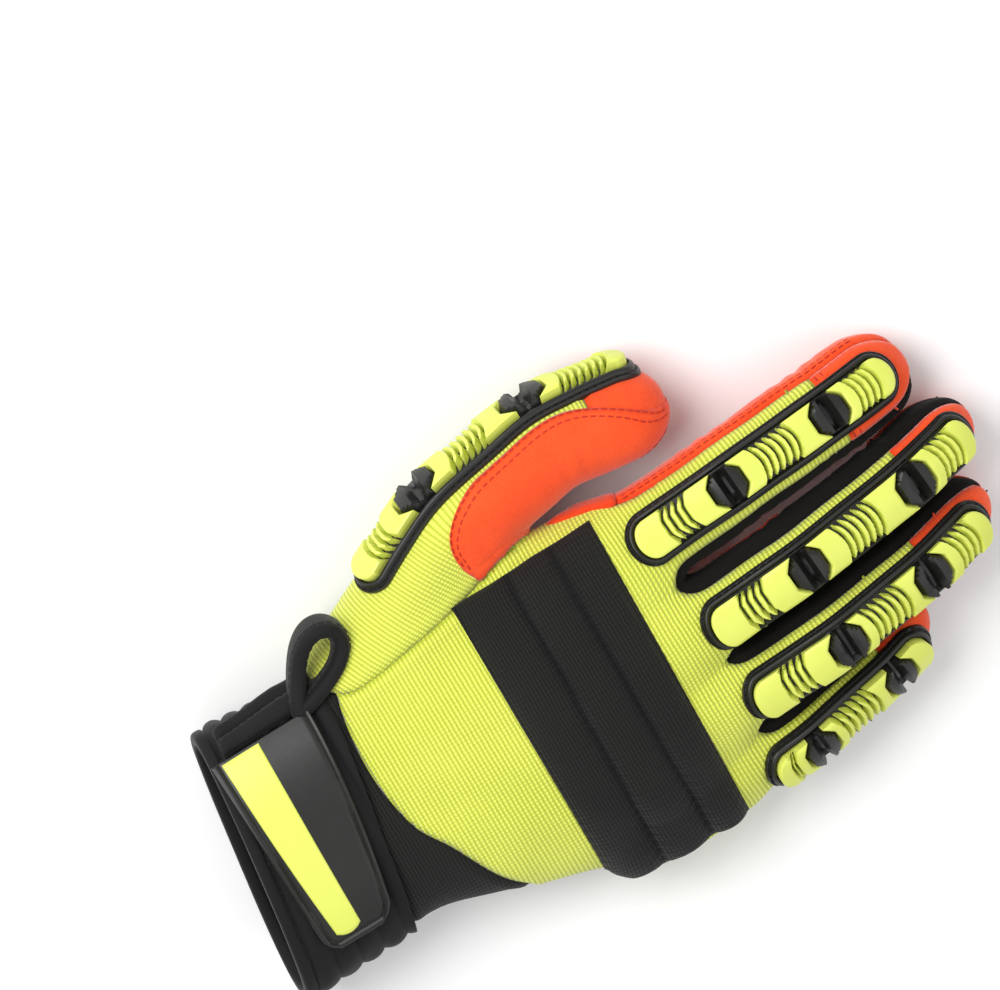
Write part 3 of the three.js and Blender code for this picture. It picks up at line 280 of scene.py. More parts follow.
@dataclass
class Digit:
    """A digit: a tube of superellipse sections along a bent middle line, closed by a rounded tip."""

    name: str
    knuckle: tuple
    span: float
    wide: float
    thick: float
    lean: float
    splay: float
    dip: float
    bends: tuple
    guard: tuple
    seam: float
    twist: float = 0.0
    tip_start: float = 0.87
    tip_taper: float = 0.07
    bend_reach: float = 0.06
    root_reach: float = 0.1
    steps: int = 160
    fold_height: float = 0.28
    fold_pitch: float = 6.7
    fold_reach: float = 9.0

    def __post_init__(self) -> None:
        """Lays out the middle line and the directions along it."""
        self.origin = np.array(self.knuckle) * (PALM_LENGTH, PALM_WIDTH, PALM_THICKNESS)
        splay, dip = self.splay * RADIANS, self.dip * RADIANS
        flat = (math.cos(splay) * math.cos(dip), math.sin(splay) * math.cos(dip), -math.sin(dip))
        self.along = np.array(flat)
        level = np.array((0, 0, 1)) - self.along * self.along[2]
        back = turned(level / np.linalg.norm(level), self.along, self.lean * RADIANS)
        self.start = -self.root_reach * self.span
        self.step = self.span / self.steps
        places = np.arange(self.start, self.span + 1.5 * self.step, self.step)
        ahead, _, _ = self.directions(places + self.step / 2, back)
        trail = self.origin + self.along * self.start + np.cumsum(ahead * self.step, axis=0)
        trail = np.vstack([self.origin + self.along * self.start, trail[:-1]])
        self.line = np.hstack([trail, *self.directions(places, back)])

    def directions(self, s: np.ndarray, back: np.ndarray) -> tuple:
        """Directions ahead, up through the back and to the thumb side, at places along the digit.

        Args:
            s: Places along the digit, in millimetres from its knuckle.
            back: Direction up through its back at the knuckle.

        Returns:
            The three directions, one row for each place.
        """
        shares = [(s / self.span - at + self.bend_reach) / (2 * self.bend_reach) for at, _ in self.bends]
        bend = sum(turn * RADIANS * smooth(share) for (_, turn), share in zip(self.bends, shares))[:, None]
        ahead = self.along * np.cos(bend) - back * np.sin(bend)
        up = back * np.cos(bend) + self.along * np.sin(bend)
        twist = (self.twist * RADIANS * np.clip(s / self.span, 0, 1))[:, None]
        up = up * np.cos(twist) + np.cross(ahead, up) * np.sin(twist)
        return ahead, up, np.cross(up, ahead)

    def stations(self, s: np.ndarray) -> tuple:
        """Middle points and directions ahead, up and to the thumb side at places along the digit.

        Args:
            s: Places along the digit.

        Returns:
            The points and the three directions, read between the steps of the line.
        """
        place = np.clip((s - self.start) / self.step, 0, len(self.line) - 1.001)
        i = place.astype(int)
        values = self.line[i] + (self.line[i + 1] - self.line[i]) * (place - i)[..., None]
        return values[..., 0:3], values[..., 3:6], values[..., 6:9], values[..., 9:12]

    def halves(self, s: np.ndarray) -> tuple:
        """Half width and half thickness, without the rounding of the tip.

        Args:
            s: Places along the digit.

        Returns:
            Both, at each place.
        """
        taper = 1 - self.tip_taper * np.clip(s / self.span, 0, self.tip_start) / self.tip_start
        return self.wide * FINGER_WIDTH * taper / 2, self.thick * FINGER_THICKNESS * taper / 2

    def roundness(self, s: np.ndarray) -> np.ndarray:
        """How far the rounded tip has narrowed, from 1 to nearly 0.

        Args:
            s: Places along the digit.

        Returns:
            The share of the full section that is left.
        """
        share = np.clip((s / self.span - self.tip_start) / (1 - self.tip_start), 0, 0.995)
        return np.sqrt(1 - share**2)

    def locate(self, points: np.ndarray) -> tuple:
        """Places points along the digit (s), to its thumb side (u) and up through its back (v).

        Args:
            points: Points of the glove.

        Returns:
            s, which may pass both ends, u and v.
        """
        s = (points - self.origin) @ self.along
        for _ in range(3):
            middle, ahead, _, _ = self.stations(np.clip(s, self.start, self.span))
            s = np.clip(s, self.start, self.span) + ((points - middle) * ahead).sum(1)
        middle, _, up, side = self.stations(np.clip(s, self.start, self.span))
        off = points - middle
        return s, (off * side).sum(1), (off * up).sum(1)

    def distance(self, points: np.ndarray) -> tuple:
        """Distance outside the digit, with the place along it, the angle from its back and the radius.

        Args:
            points: Points of the glove.

        Returns:
            The four, one number for each point; folds at the bends are taken off the distance.
        """
        s, u, v = self.locate(points)
        wide, thick = self.halves(s)
        past = np.maximum(s - self.tip_start * self.span, 0)
        before = np.maximum(self.start - s, 0)
        closing = np.where(past > 0, (1 - self.tip_start) * self.span, thick)
        gap = oval_distance(u, v, past + before, (wide, thick, closing), DIGIT_POWER)
        angle, radius = np.arctan2(u, v), np.hypot(u, v)
        centres = [at * self.span for at, _ in self.bends]
        near = sum(np.exp(-(((s - at) / self.fold_reach) ** 2)) for at in centres)
        low_side = np.exp(-(((np.abs(angle) - 1.75) / 0.55) ** 2))
        folds = self.fold_height * np.sin(2 * math.pi * s / self.fold_pitch) * near * low_side
        return gap - folds, s, angle, radius

    def surface(self, s: np.ndarray, angle: np.ndarray, offset: float = 0.0) -> np.ndarray:
        """Points of the tube, at angles from the middle of its back towards the thumb side.

        Args:
            s: Places along the digit.
            angle: Angles round it.
            offset: Height above the tube.

        Returns:
            The points.
        """
        middle, _, up, side = self.stations(s)
        wide, thick = self.halves(s)
        narrow = self.roundness(s)
        c, v = np.sin(angle), np.cos(angle)
        across = (wide * narrow + offset) * np.sign(c) * np.abs(c) ** (2 / DIGIT_POWER)
        rise = (thick * narrow + offset) * np.sign(v) * np.abs(v) ** (2 / DIGIT_POWER)
        return middle + side * across[..., None] + up * rise[..., None]

    def guard_point(self, s: np.ndarray, t: np.ndarray, height: np.ndarray) -> np.ndarray:
        """Points over the back of the digit, on circles that fit its back.

        With R = wide^2 / thick and angle t / R, the point is (R + height) sin(angle) aside and
        thick + height - (R + height) (1 - cos(angle)) up.

        Args:
            s: Places along the digit.
            t: Distance round from the middle of its back.
            height: Height above the back.

        Returns:
            The points.
        """
        middle, _, up, side = self.stations(s)
        wide, thick = self.halves(np.minimum(s, self.tip_start * self.span))
        radius = wide**2 / thick
        angle = t / radius
        lift = thick * self.roundness(s) + height - (radius + height) * (1 - np.cos(angle))
        return middle + up * lift[..., None] + side * ((radius + height) * np.sin(angle))[..., None]


def digits() -> list:
    """The four fingers and the thumb.

    Returns:
        The five digits, from the index finger to the little finger, and the thumb.
    """
    index, middle, ring, little = FINGER_SPANS
    return [
        Digit("index", (0.774, 0.296, 0.69), index, 1.24, 1.0, -12, 3.5, 0.8, ((0.45, 9), (0.74, 11)),
              (0.155, 0.44, 0.73, 0.94), 0.75),
        Digit("middle", (0.774, 0.011, 0.765), middle, 0.97, 1.0, 6, 3.5, 0.8, ((0.46, 10), (0.755, 12)),
              (0.19, 0.465, 0.76, 0.96), 0.77),
        Digit("ring", (0.774, -0.216, 0.715), ring, 0.94, 0.96, 16, 2.5, 0.8, ((0.48, 10), (0.74, 11)),
              (0.2, 0.485, 0.735, 0.95), 0.75),
        Digit("little", (0.7, -0.443, 0.47), little, 0.9, 0.88, 38, 5, 0.8, ((0.46, 7), (0.77, 7)),
              (0.275, 0.465, 0.78, 0.94), 0.78),
        Digit("thumb", (0.208, 0.45, 0.56), THUMB_LENGTH, 1.12, 1.2, -66, 28, -5, ((0.36, 22), (0.67, 22)),
              (0.1, 0.363, 0.668, 0.966), 0.77, twist=-26),
    ]


@dataclass
class Reading:
    """What is known of points near the skin."""

    gap: np.ndarray
    top: np.ndarray
    finger: np.ndarray
    share: np.ndarray
    s: np.ndarray
    angle: np.ndarray
    radius: np.ndarray
    thumb: np.ndarray
    thumb_s: np.ndarray
    thumb_angle: np.ndarray
    thumb_radius: np.ndarray


@dataclass
class Skin:
    """The glove's outer surface, where the blended field of its parts is zero."""

    hand: Hand = field(default_factory=Hand)
    digits: list = field(default_factory=digits)
    finger_blend: float = 9.0
    thumb_blend: float = 13.0
    thumb_edge: float = 0.8
    web_end: float = 46.0
    web_run: float = 26.0
    floor_blend: float = 2.5
    share_reach: float = 14.0
    wave_height: float = 0.3

    def read(self, points: np.ndarray) -> Reading:
        """Measures points against the skin.

        The field is the smooth minimum of the body, the nearest finger and the thumb, cut flat at the floor,
        with shallow waves of the cloth added. The thumb's rounding shrinks along it, so that it stays free of
        the index finger.

        Args:
            points: Points of the glove.

        Returns:
            Their reading.
        """
        body, up = self.hand.distance(points)
        parts = [digit.distance(points) for digit in self.digits[:4]]
        gaps = np.stack([part[0] for part in parts])
        finger = gaps.argmin(0)
        row = np.arange(len(points))
        gap, s, angle, radius = (np.stack([part[k] for part in parts])[finger, row] for k in range(4))
        thumb, thumb_s, thumb_angle, thumb_radius = self.digits[4].distance(points)
        share = smooth(0.5 + (body - gap) / self.share_reach)
        aside = (math.pi / 2 - np.abs(angle)) * radius
        hand_gap = blend_min(body, gap, self.finger_blend)
        left = 1 - smooth((thumb_s - self.web_end) / self.web_run)
        web = self.thumb_edge + (self.thumb_blend - self.thumb_edge) * left
        whole = blend_min(hand_gap, thumb, web)
        x, y, z = points.T
        waves = np.sin(0.16 * x + 0.09 * y + 1.4 * np.sin(0.07 * y)) * np.sin(0.13 * y - 0.06 * x + 0.21 * z)
        whole = whole + self.wave_height * waves
        whole = -blend_min(-whole, z - SKIN_FLOOR, self.floor_blend)
        return Reading(
            whole, up * (1 - share) + aside * share, finger, share, s, angle, radius, thumb - hand_gap,
            thumb_s, thumb_angle, thumb_radius,
        )

    def gap(self, points: np.ndarray) -> np.ndarray:
        """The field alone, for many points, in batches."""
        batches = np.array_split(points, max(1, len(points) // 200000))
        return np.concatenate([self.read(part).gap for part in batches])

    def normals(self, points: np.ndarray, step: float = 0.35) -> tuple:
        """Outward directions and the field's slope, from its change over small steps.

        Args:
            points: Points near the skin.
            step: Length of a step.

        Returns:
            The directions, and how steep the field is.
        """
        shifts = np.eye(3) * step
        changes = [self.gap(points + shift) - self.gap(points - shift) for shift in shifts]
        slope = np.stack(changes, axis=1) / (2 * step)
        size = np.maximum(np.linalg.norm(slope, axis=1, keepdims=True), 0.2)
        return slope / size, size[:, 0]

    def project(self, points: np.ndarray, rounds: int = 3) -> np.ndarray:
        """The points moved straight to the skin.

        Args:
            points: Points near the skin.
            rounds: How often they are moved.

        Returns:
            The moved points.
        """
        moved = points.copy()
        for _ in range(rounds):
            out, size = self.normals(moved)
            moved -= out * np.clip(self.gap(moved) / size, -2.5, 2.5)[:, None]
        return moved


def surface_net(values: np.ndarray, origin: np.ndarray, step: float) -> tuple:
    """Quads along the zero surface of a sampled field.

    Each cell that the surface crosses holds one vertex, the mean of the crossings on its edges; each crossed
    edge of the lattice gives the quad of its four cells.

    Args:
        values: The field on a lattice, less than 0 inside.
        origin: Place of its first sample.
        step: Distance between samples.

    Returns:
        Points and quads.
    """
    shape = np.array(values.shape)
    strides = np.array([shape[1] * shape[2], shape[2], 1])
    cells, spots, quads = [], [], []
    for axis in range(3):
        second, third = (axis + 1) % 3, (axis + 2) % 3
        low = np.take(values, range(shape[axis] - 1), axis=axis)
        high = np.take(values, range(1, shape[axis]), axis=axis)
        crossed = np.argwhere((low < 0) != (high < 0))
        crossed = crossed[(crossed[:, second] > 0) & (crossed[:, third] > 0)]
        a, b = low[tuple(crossed.T)], high[tuple(crossed.T)]
        spot = crossed.astype(float)
        spot[:, axis] += a / (a - b)
        corners = []
        for j, k in ((-1, -1), (0, -1), (0, 0), (-1, 0)):
            cell = crossed.copy()
            cell[:, second] += j
            cell[:, third] += k
            corners.append(cell @ strides)
            cells.append(corners[-1])
            spots.append(spot)
        quad = np.stack(corners, axis=1)
        quads.append(np.where((a < 0)[:, None], quad, quad[:, ::-1]))
    names, index = np.unique(np.concatenate(cells), return_inverse=True)
    spots = np.concatenate(spots)
    count = np.bincount(index)
    points = np.stack([np.bincount(index, spots[:, k]) / count for k in range(3)], axis=1)
    return points * step + origin, np.searchsorted(names, np.concatenate(quads))


class Graph:
    """A material and the few kinds of nodes that it is built from."""

    def __init__(self, name: str) -> None:
        """Starts a material with its shader.

        Args:
            name: Name of the material.
        """
        self.material = bpy.data.materials.new(name)
        self.material.use_nodes = True
        self.tree = self.material.node_tree
        self.shader = self.tree.nodes["Principled BSDF"]

    def put(self, value: object, socket: bpy.types.NodeSocket) -> None:
        """Links a socket, or sets its value.

        Args:
            value: The socket that it is linked to, or a number or colour.
            socket: The socket.
        """
        if isinstance(value, bpy.types.NodeSocket):
            self.tree.links.new(value, socket)
        else:
            socket.default_value = value

    def math(self, operation: str, *values: object) -> bpy.types.NodeSocket:
        """Adds a math node.

        Args:
            operation: What the node does.
            values: Numbers or sockets that it takes.

        Returns:
            Its result.
        """
        node = self.tree.nodes.new("ShaderNodeMath")
        node.operation = operation
        for socket, value in zip(node.inputs, values):
            self.put(value, socket)
        return node.outputs[0]

    def noise(self, scale: float, detail: float = 3.0) -> bpy.types.NodeSocket:
        """Adds noise over the object's own coordinates.

        Args:
            scale: Waves to the metre.
            detail: Finer layers on top.

        Returns:
            The noise, from 0 to 1.
        """
        node = self.tree.nodes.new("ShaderNodeTexNoise")
        place = self.tree.nodes.new("ShaderNodeTexCoord")
        self.tree.links.new(place.outputs["Object"], node.inputs["Vector"])
        node.inputs["Scale"].default_value = scale
        node.inputs["Detail"].default_value = detail
        return node.outputs[0]

    def parts(self, attribute: str) -> tuple:
        """Reads a vector that the mesh carries.

        Args:
            attribute: Name of the vector.

        Returns:
            Its three parts.
        """
        node = self.tree.nodes.new("ShaderNodeAttribute")
        node.attribute_name = attribute
        split = self.tree.nodes.new("ShaderNodeSeparateXYZ")
        self.tree.links.new(node.outputs["Vector"], split.inputs[0])
        return tuple(split.outputs)

    def mix(self, share: object, a: object, b: object) -> bpy.types.NodeSocket:
        """Adds a mix of two colours.

        Args:
            share: How much of the second there is.
            a: First colour.
            b: Second colour.

        Returns:
            The mix.
        """
        node = self.tree.nodes.new("ShaderNodeMix")
        node.data_type = "RGBA"
        self.put(share, node.inputs[0])
        self.put(a, node.inputs[6])
        self.put(b, node.inputs[7])
        return node.outputs[2]

    def bump(self, height: bpy.types.NodeSocket, distance: float, strength: float = 1.0) -> None:
        """Bends the shader's normals by a height.

        Args:
            height: The height.
            distance: Metres that a height of one stands for.
            strength: How much of it is used.
        """
        node = self.tree.nodes.new("ShaderNodeBump")
        node.inputs["Strength"].default_value = strength
        node.inputs["Distance"].default_value = distance
        self.tree.links.new(height, node.inputs["Height"])
        self.tree.links.new(node.outputs[0], self.shader.inputs["Normal"])


def linear(red: int, green: int, blue: int) -> tuple:
    """A screen colour as linear light, with full cover.

    Args:
        red: Red, up to 255.
        green: Green.
        blue: Blue.

    Returns:
        The linear colour.
    """
    shares = np.array((red, green, blue)) / 255
    light = np.where(shares > 0.04, ((shares + 0.055) / 1.055) ** 2.4, shares / 12.92)
    return (*light.tolist(), 1.0)


@dataclass(frozen=True)
class Knit:
    """Waffle knit: ribs across and wales along, from the mesh's weave coordinates in millimetres."""

    name: str
    bright: tuple
    deep: tuple
    rib: float
    wale: float
    depth: float
    sheen: float = 0.25

    def material(self) -> bpy.types.Material:
        """Builds the material.

        Returns:
            The material.
        """
        g = Graph(self.name)
        across, along, _ = g.parts("weave")
        jitter = g.math("MULTIPLY", g.noise(260, 2), 0.35)
        ribs = g.math("SINE", g.math("MULTIPLY", g.math("ADD", across, jitter), 2 * math.pi / self.rib))
        wales = g.math("SINE", g.math("MULTIPLY", g.math("ADD", along, jitter), 2 * math.pi / self.wale))
        rows = g.math("POWER", g.math("MULTIPLY_ADD", ribs, 0.5, 0.5), 0.6)
        cells = g.math("POWER", g.math("MULTIPLY_ADD", wales, 0.5, 0.5), 0.6)
        height = g.math("MULTIPLY", rows, g.math("MULTIPLY_ADD", cells, 0.45, 0.55))
        fuzz = g.math("MULTIPLY", g.noise(2600, 4), 0.25)
        # Colour: random tone from noise, plus painted shade, with the deep tone in the hollows between the
        # ribs where the rib height is low.
        shade = g.math("MULTIPLY_ADD", g.noise(28, 3), 0.35, g.math("MULTIPLY_ADD", height, 0.85, -0.12))
        # Painted shade: the knit goes darker within 1.6 mm of a piece's border, in the panel seams and in the
        # knuckle pad's grooves.
        edge, _, _ = g.parts("edge")
        groove = g.math("SUBTRACT", 1.0, g.math("MINIMUM", g.math("DIVIDE", edge, 1.6), 1.0))
        shade = g.math("MULTIPLY_ADD", groove, -0.55, shade)
        g.put(g.mix(shade, self.deep, self.bright), g.shader.inputs["Base Color"])
        g.shader.inputs["Roughness"].default_value = 0.82
        g.shader.inputs["Sheen Weight"].default_value = self.sheen
        g.shader.inputs["Sheen Roughness"].default_value = 0.5
        g.shader.inputs["Specular IOR Level"].default_value = 0.25
        g.bump(g.math("ADD", height, fuzz), self.depth * MM)
        return g.material


@dataclass(frozen=True)
class Suede:
    """Synthetic suede: a short nap that is brushed in soft clouds."""

    name: str
    bright: tuple
    deep: tuple
    sheen: float = 0.35
    bumps: float = 0.16

    def material(self) -> bpy.types.Material:
        """Builds the material.

        Returns:
            The material.
        """
        g = Graph(self.name)
        clouds = g.noise(55, 4)
        grain = g.noise(1500, 5)
        shade = g.math("ADD", g.math("MULTIPLY", clouds, 0.6), g.math("MULTIPLY", grain, 0.55))
        # Painted shade: the nap goes darker within 2.2 mm of a piece's border, along its seams and the edges
        # of the patches and pads.
        edge, _, _ = g.parts("edge")
        inset = g.math("MINIMUM", g.math("DIVIDE", edge, 2.2), 1.0)
        painted_seam_shade = g.math("MULTIPLY", g.math("SUBTRACT", 1.0, inset), 0.3)
        g.put(g.mix(g.math("SUBTRACT", shade, painted_seam_shade), self.deep, self.bright), g.shader.inputs["Base Color"])
        g.shader.inputs["Roughness"].default_value = 0.92
        g.shader.inputs["Sheen Weight"].default_value = self.sheen
        g.shader.inputs["Sheen Roughness"].default_value = 0.4
        g.shader.inputs["Specular IOR Level"].default_value = 0.15
        g.bump(g.math("ADD", grain, g.math("MULTIPLY", g.noise(420, 3), 1.2)), self.bumps * MM)
        return g.material


@dataclass(frozen=True)
class Rubber:
    """Moulded soft rubber with a satin face and faint clouds of roughness."""

    name: str
    bright: tuple
    deep: tuple
    rough: float
    grain: float = 0.02
    soft: float = 0.0

    def material(self) -> bpy.types.Material:
        """Builds the material.

        Returns:
            The material.
        """
        g = Graph(self.name)
        g.put(g.mix(g.noise(70, 3), self.deep, self.bright), g.shader.inputs["Base Color"])
        g.put(g.math("MULTIPLY_ADD", g.noise(320, 4), 0.16, self.rough - 0.08), g.shader.inputs["Roughness"])
        g.shader.inputs["Subsurface Weight"].default_value = self.soft
        g.shader.inputs["Subsurface Radius"].default_value = (0.0015, 0.0013, 0.0005)
        g.shader.inputs["Specular IOR Level"].default_value = 0.45
        g.bump(g.noise(1900, 3), self.grain * MM)
        return g.material


@dataclass(frozen=True)
class Neoprene:
    """Foam faced with a fine jersey."""

    name: str
    bright: tuple
    deep: tuple

    def material(self) -> bpy.types.Material:
        """Builds the material.

        Returns:
            The material.
        """
        g = Graph(self.name)
        fine = g.noise(2200, 2)
        shade = g.math("ADD", g.math("MULTIPLY", g.noise(60, 4), 0.7), g.math("MULTIPLY", fine, 0.4))
        g.put(g.mix(shade, self.deep, self.bright), g.shader.inputs["Base Color"])
        g.shader.inputs["Roughness"].default_value = 0.78
        g.shader.inputs["Sheen Weight"].default_value = 0.1
        g.shader.inputs["Sheen Roughness"].default_value = 0.35
        g.shader.inputs["Specular IOR Level"].default_value = 0.25
        g.bump(fine, 0.12 * MM)
        return g.material


# The deep colours of the knits also serve as their painted shade in rib hollows, seams and grooves.
LIME_KNIT = Knit("lime waffle knit", linear(232, 239, 104), linear(172, 182, 46), 1.35, 1.3, 0.4)
BLACK_KNIT = Knit("black waffle knit", linear(31, 30, 28), linear(5, 5, 5), 1.1, 1.5, 0.3, 0.06)
WEBBING = Knit("black webbing", linear(32, 31, 29), linear(7, 7, 7), 1.5, 1.9, 0.3, 0.06)
ORANGE_SUEDE = Suede("orange suede cloth", linear(246, 94, 46), linear(206, 50, 18))
BLACK_SUEDE = Suede("black suede cloth", linear(27, 25, 23), linear(7, 7, 6), 0.05)
LIME_RUBBER = Rubber("lime soft rubber", linear(216, 224, 102), linear(204, 213, 88), 0.42, 0.02, 0.12)
BLACK_RUBBER = Rubber("black soft rubber", linear(26, 26, 24), linear(16, 16, 15), 0.42)
NEOPRENE = Neoprene("black faced foam", linear(23, 23, 23), linear(7, 7, 7))
RED_THREAD = Rubber("red_thread", linear(196, 44, 16), linear(160, 30, 10), 0.7)
BLACK_THREAD = Rubber("black_thread", linear(30, 29, 27), linear(14, 14, 13), 0.6)
LINING = Neoprene("lining_jersey", linear(30, 30, 30), linear(12, 12, 12))

MATERIALS = {}


@dataclass
class Sheet:
    """A surface of quads in millimetres, with the numbers that its finish reads."""

    points: np.ndarray
    quads: np.ndarray
    weave: np.ndarray = None
    edge: np.ndarray = None

    def add(self, name: str, finish: object, slot: Slot, nodes: tuple = (), thickness: float = 0.0,
            sharp: float = 180.0) -> bpy.types.Object:
        """Makes the object, in metres in the CAD part's frame.

        Args:
            name: Name of the piece.
            finish: What its material is built from.
            slot: Slot of the record for its finish; not used.
            nodes: CAD nodes that it stands for.
            thickness: How far it is thickened inwards, 0 where it is closed already.
            sharp: Angle between faces, in degrees, from which their edge is sharp.

        Returns:
            The object.
        """
        mesh = bpy.data.meshes.new(name)
        used, index = np.unique(self.quads, return_inverse=True)
        quads = index.reshape(self.quads.shape)
        places = (self.points[used] + ORIGIN) * MM
        mesh.vertices.add(len(used))
        mesh.vertices.foreach_set("co", places.astype(np.float32).ravel())
        mesh.loops.add(quads.size)
        mesh.loops.foreach_set("vertex_index", quads.astype(np.int32).ravel())
        mesh.polygons.add(len(quads))
        mesh.polygons.foreach_set("loop_start", np.arange(0, quads.size, quads.shape[1], dtype=np.int32))
        mesh.update(calc_edges=True)
        mesh.validate()
        mesh.shade_smooth()
        if sharp < 180:
            mesh.set_sharp_from_angle(angle=sharp * RADIANS)
        zeros = np.zeros(len(self.points))
        plan = np.stack([self.points[:, 0], self.points[:, 1], zeros], 1)
        weave = self.weave if self.weave is not None else plan
        # The edge distance drives the painted shade of the knit and suede finishes near seams and grooves; 9
        # mm lies beyond it.
        edge = self.edge if self.edge is not None else zeros + 9
        for label, values in (("weave", weave[used]), ("edge", np.stack([edge[used]] * 3, axis=1))):
            layer = mesh.attributes.new(label, "FLOAT_VECTOR", "POINT")
            layer.data.foreach_set("vector", values.astype(np.float32).ravel())
        if finish.name not in MATERIALS:
            MATERIALS[finish.name] = finish.material()
        mesh.materials.append(MATERIALS[finish.name])
        piece = bpy.data.objects.new(name, mesh)
        bpy.context.scene.collection.objects.link(piece)
        if thickness:
            solid = piece.modifiers.new("thickness", "SOLIDIFY")
            solid.thickness = thickness * MM
            solid.offset = -1
        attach(piece, "root")
        if nodes:
            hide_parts(*nodes)
        log.info("%s: %d faces", name, len(quads))
        return piece


def lattice_quads(rows: int, columns: int, closed: bool = False) -> np.ndarray:
    """Quads of a grid of points, numbered row by row.

    Args:
        rows: Points along.
        columns: Points across.
        closed: Whether the last column is joined to the first.

    Returns:
        The quads.
    """
    index = np.arange(rows * columns).reshape(rows, columns)
    if closed:
        index = np.hstack([index, index[:, :1]])
    return np.stack([index[:-1, :-1], index[:-1, 1:], index[1:, 1:], index[1:, :-1]], -1).reshape(-1, 4)


def plate(top: np.ndarray, bottom: np.ndarray) -> Sheet:
    """A closed plate between two grids of points.

    Args:
        top: Points of its outer face, rows along and columns across.
        bottom: Points of its inner face, as many.

    Returns:
        The plate, its faces outwards.
    """
    rows, columns = top.shape[:2]
    count = rows * columns
    face = lattice_quads(rows, columns)
    index = np.arange(count).reshape(rows, columns)
    rim = np.concatenate([index[0, :-1], index[:-1, -1], index[-1, :0:-1], index[:0:-1, 0]])
    after = np.roll(rim, -1)
    walls = np.stack([rim, rim + count, after + count, after], axis=1)
    points = np.concatenate([top.reshape(-1, 3), bottom.reshape(-1, 3)])
    quads = np.concatenate([face, face[:, ::-1] + count, walls])
    sheet = Sheet(points, quads)
    out = np.cross(top[rows // 2 + 1, columns // 2] - top[rows // 2, columns // 2],
                   top[rows // 2, columns // 2 + 1] - top[rows // 2, columns // 2])
    above = top[rows // 2, columns // 2] - bottom[rows // 2, columns // 2]
    if out @ above > 0:
        sheet.quads = quads[:, ::-1]
    return sheet


def ring_tube(rings: np.ndarray, closed: bool = True, outwards: float = 1.0) -> Sheet:
    """A tube through rings of points.

    Args:
        rings: Points, one row for each ring.
        closed: Whether the last ring is joined to the first.
        outwards: 1, or -1 to turn the faces round.

    Returns:
        The tube.
    """
    rows, columns = rings.shape[:2]
    loop = np.concatenate([rings, rings[:1]]) if closed else rings
    quads = lattice_quads(len(loop), columns, closed=True)
    quads = quads % (rows * columns) if closed else quads
    return Sheet(rings.reshape(-1, 3), quads if outwards > 0 else quads[:, ::-1])


def curve_through(outline: tuple, per_side: int = 9) -> np.ndarray:
    """A closed Catmull-Rom curve through plan points.

    Args:
        outline: Points, in shares of the palm's length and width.
        per_side: Points of the curve to a side.

    Returns:
        The curve, in millimetres.
    """
    corners = np.array(outline) * (PALM_LENGTH, PALM_WIDTH)
    t = (np.arange(per_side) / per_side)[None, :, None]
    a, b, c, d = (np.roll(corners, k, axis=0)[:, None, :] for k in (1, 0, -1, -2))
    run = 0.5 * (2 * b + (c - a) * t + (2 * a - 5 * b + 4 * c - d) * t**2 + (3 * b - a - 3 * c + d) * t**3)
    return run.reshape(-1, 2)


def inside_distance(outline: np.ndarray, plan: np.ndarray) -> np.ndarray:
    """How far plan points lie inside a closed outline, less than 0 outside.

    Args:
        outline: Corners of the outline.
        plan: Points.

    Returns:
        The distance to the nearest side, signed by the number of sides crossed.
    """
    near = np.full(len(plan), 1e9)
    within = np.zeros(len(plan), bool)
    for a, b in zip(outline, np.roll(outline, -1, axis=0)):
        side = b - a
        off = plan - a
        t = np.clip(off @ side / (side @ side), 0, 1)
        near = np.minimum(near, np.linalg.norm(off - t[:, None] * side, axis=1))
        spans = (a[1] > plan[:, 1]) != (b[1] > plan[:, 1])
        cross = a[0] + (plan[:, 1] - a[1]) * side[0] / (side[1] if abs(side[1]) > 1e-9 else 1e-9)
        within ^= spans & (plan[:, 0] < cross)
    return np.where(within, near, -near)


class Panel(Enum):
    """Panels of the sewn shell."""

    NONE = 0
    BACK = 1
    ELASTIC = 2
    PALM = 3
    INDEX_TIP = 4
    MIDDLE_TIP = 5
    RING_TIP = 6
    LITTLE_TIP = 7
    INDEX_SIDE = 8
    FORK_INDEX_MIDDLE = 9
    FORK_MIDDLE_RING = 10
    FORK_RING_LITTLE = 11
    LITTLE_SIDE = 12
    THUMB_BACK = 13
    THUMB_FRONT = 14
    THUMB_TIP = 15


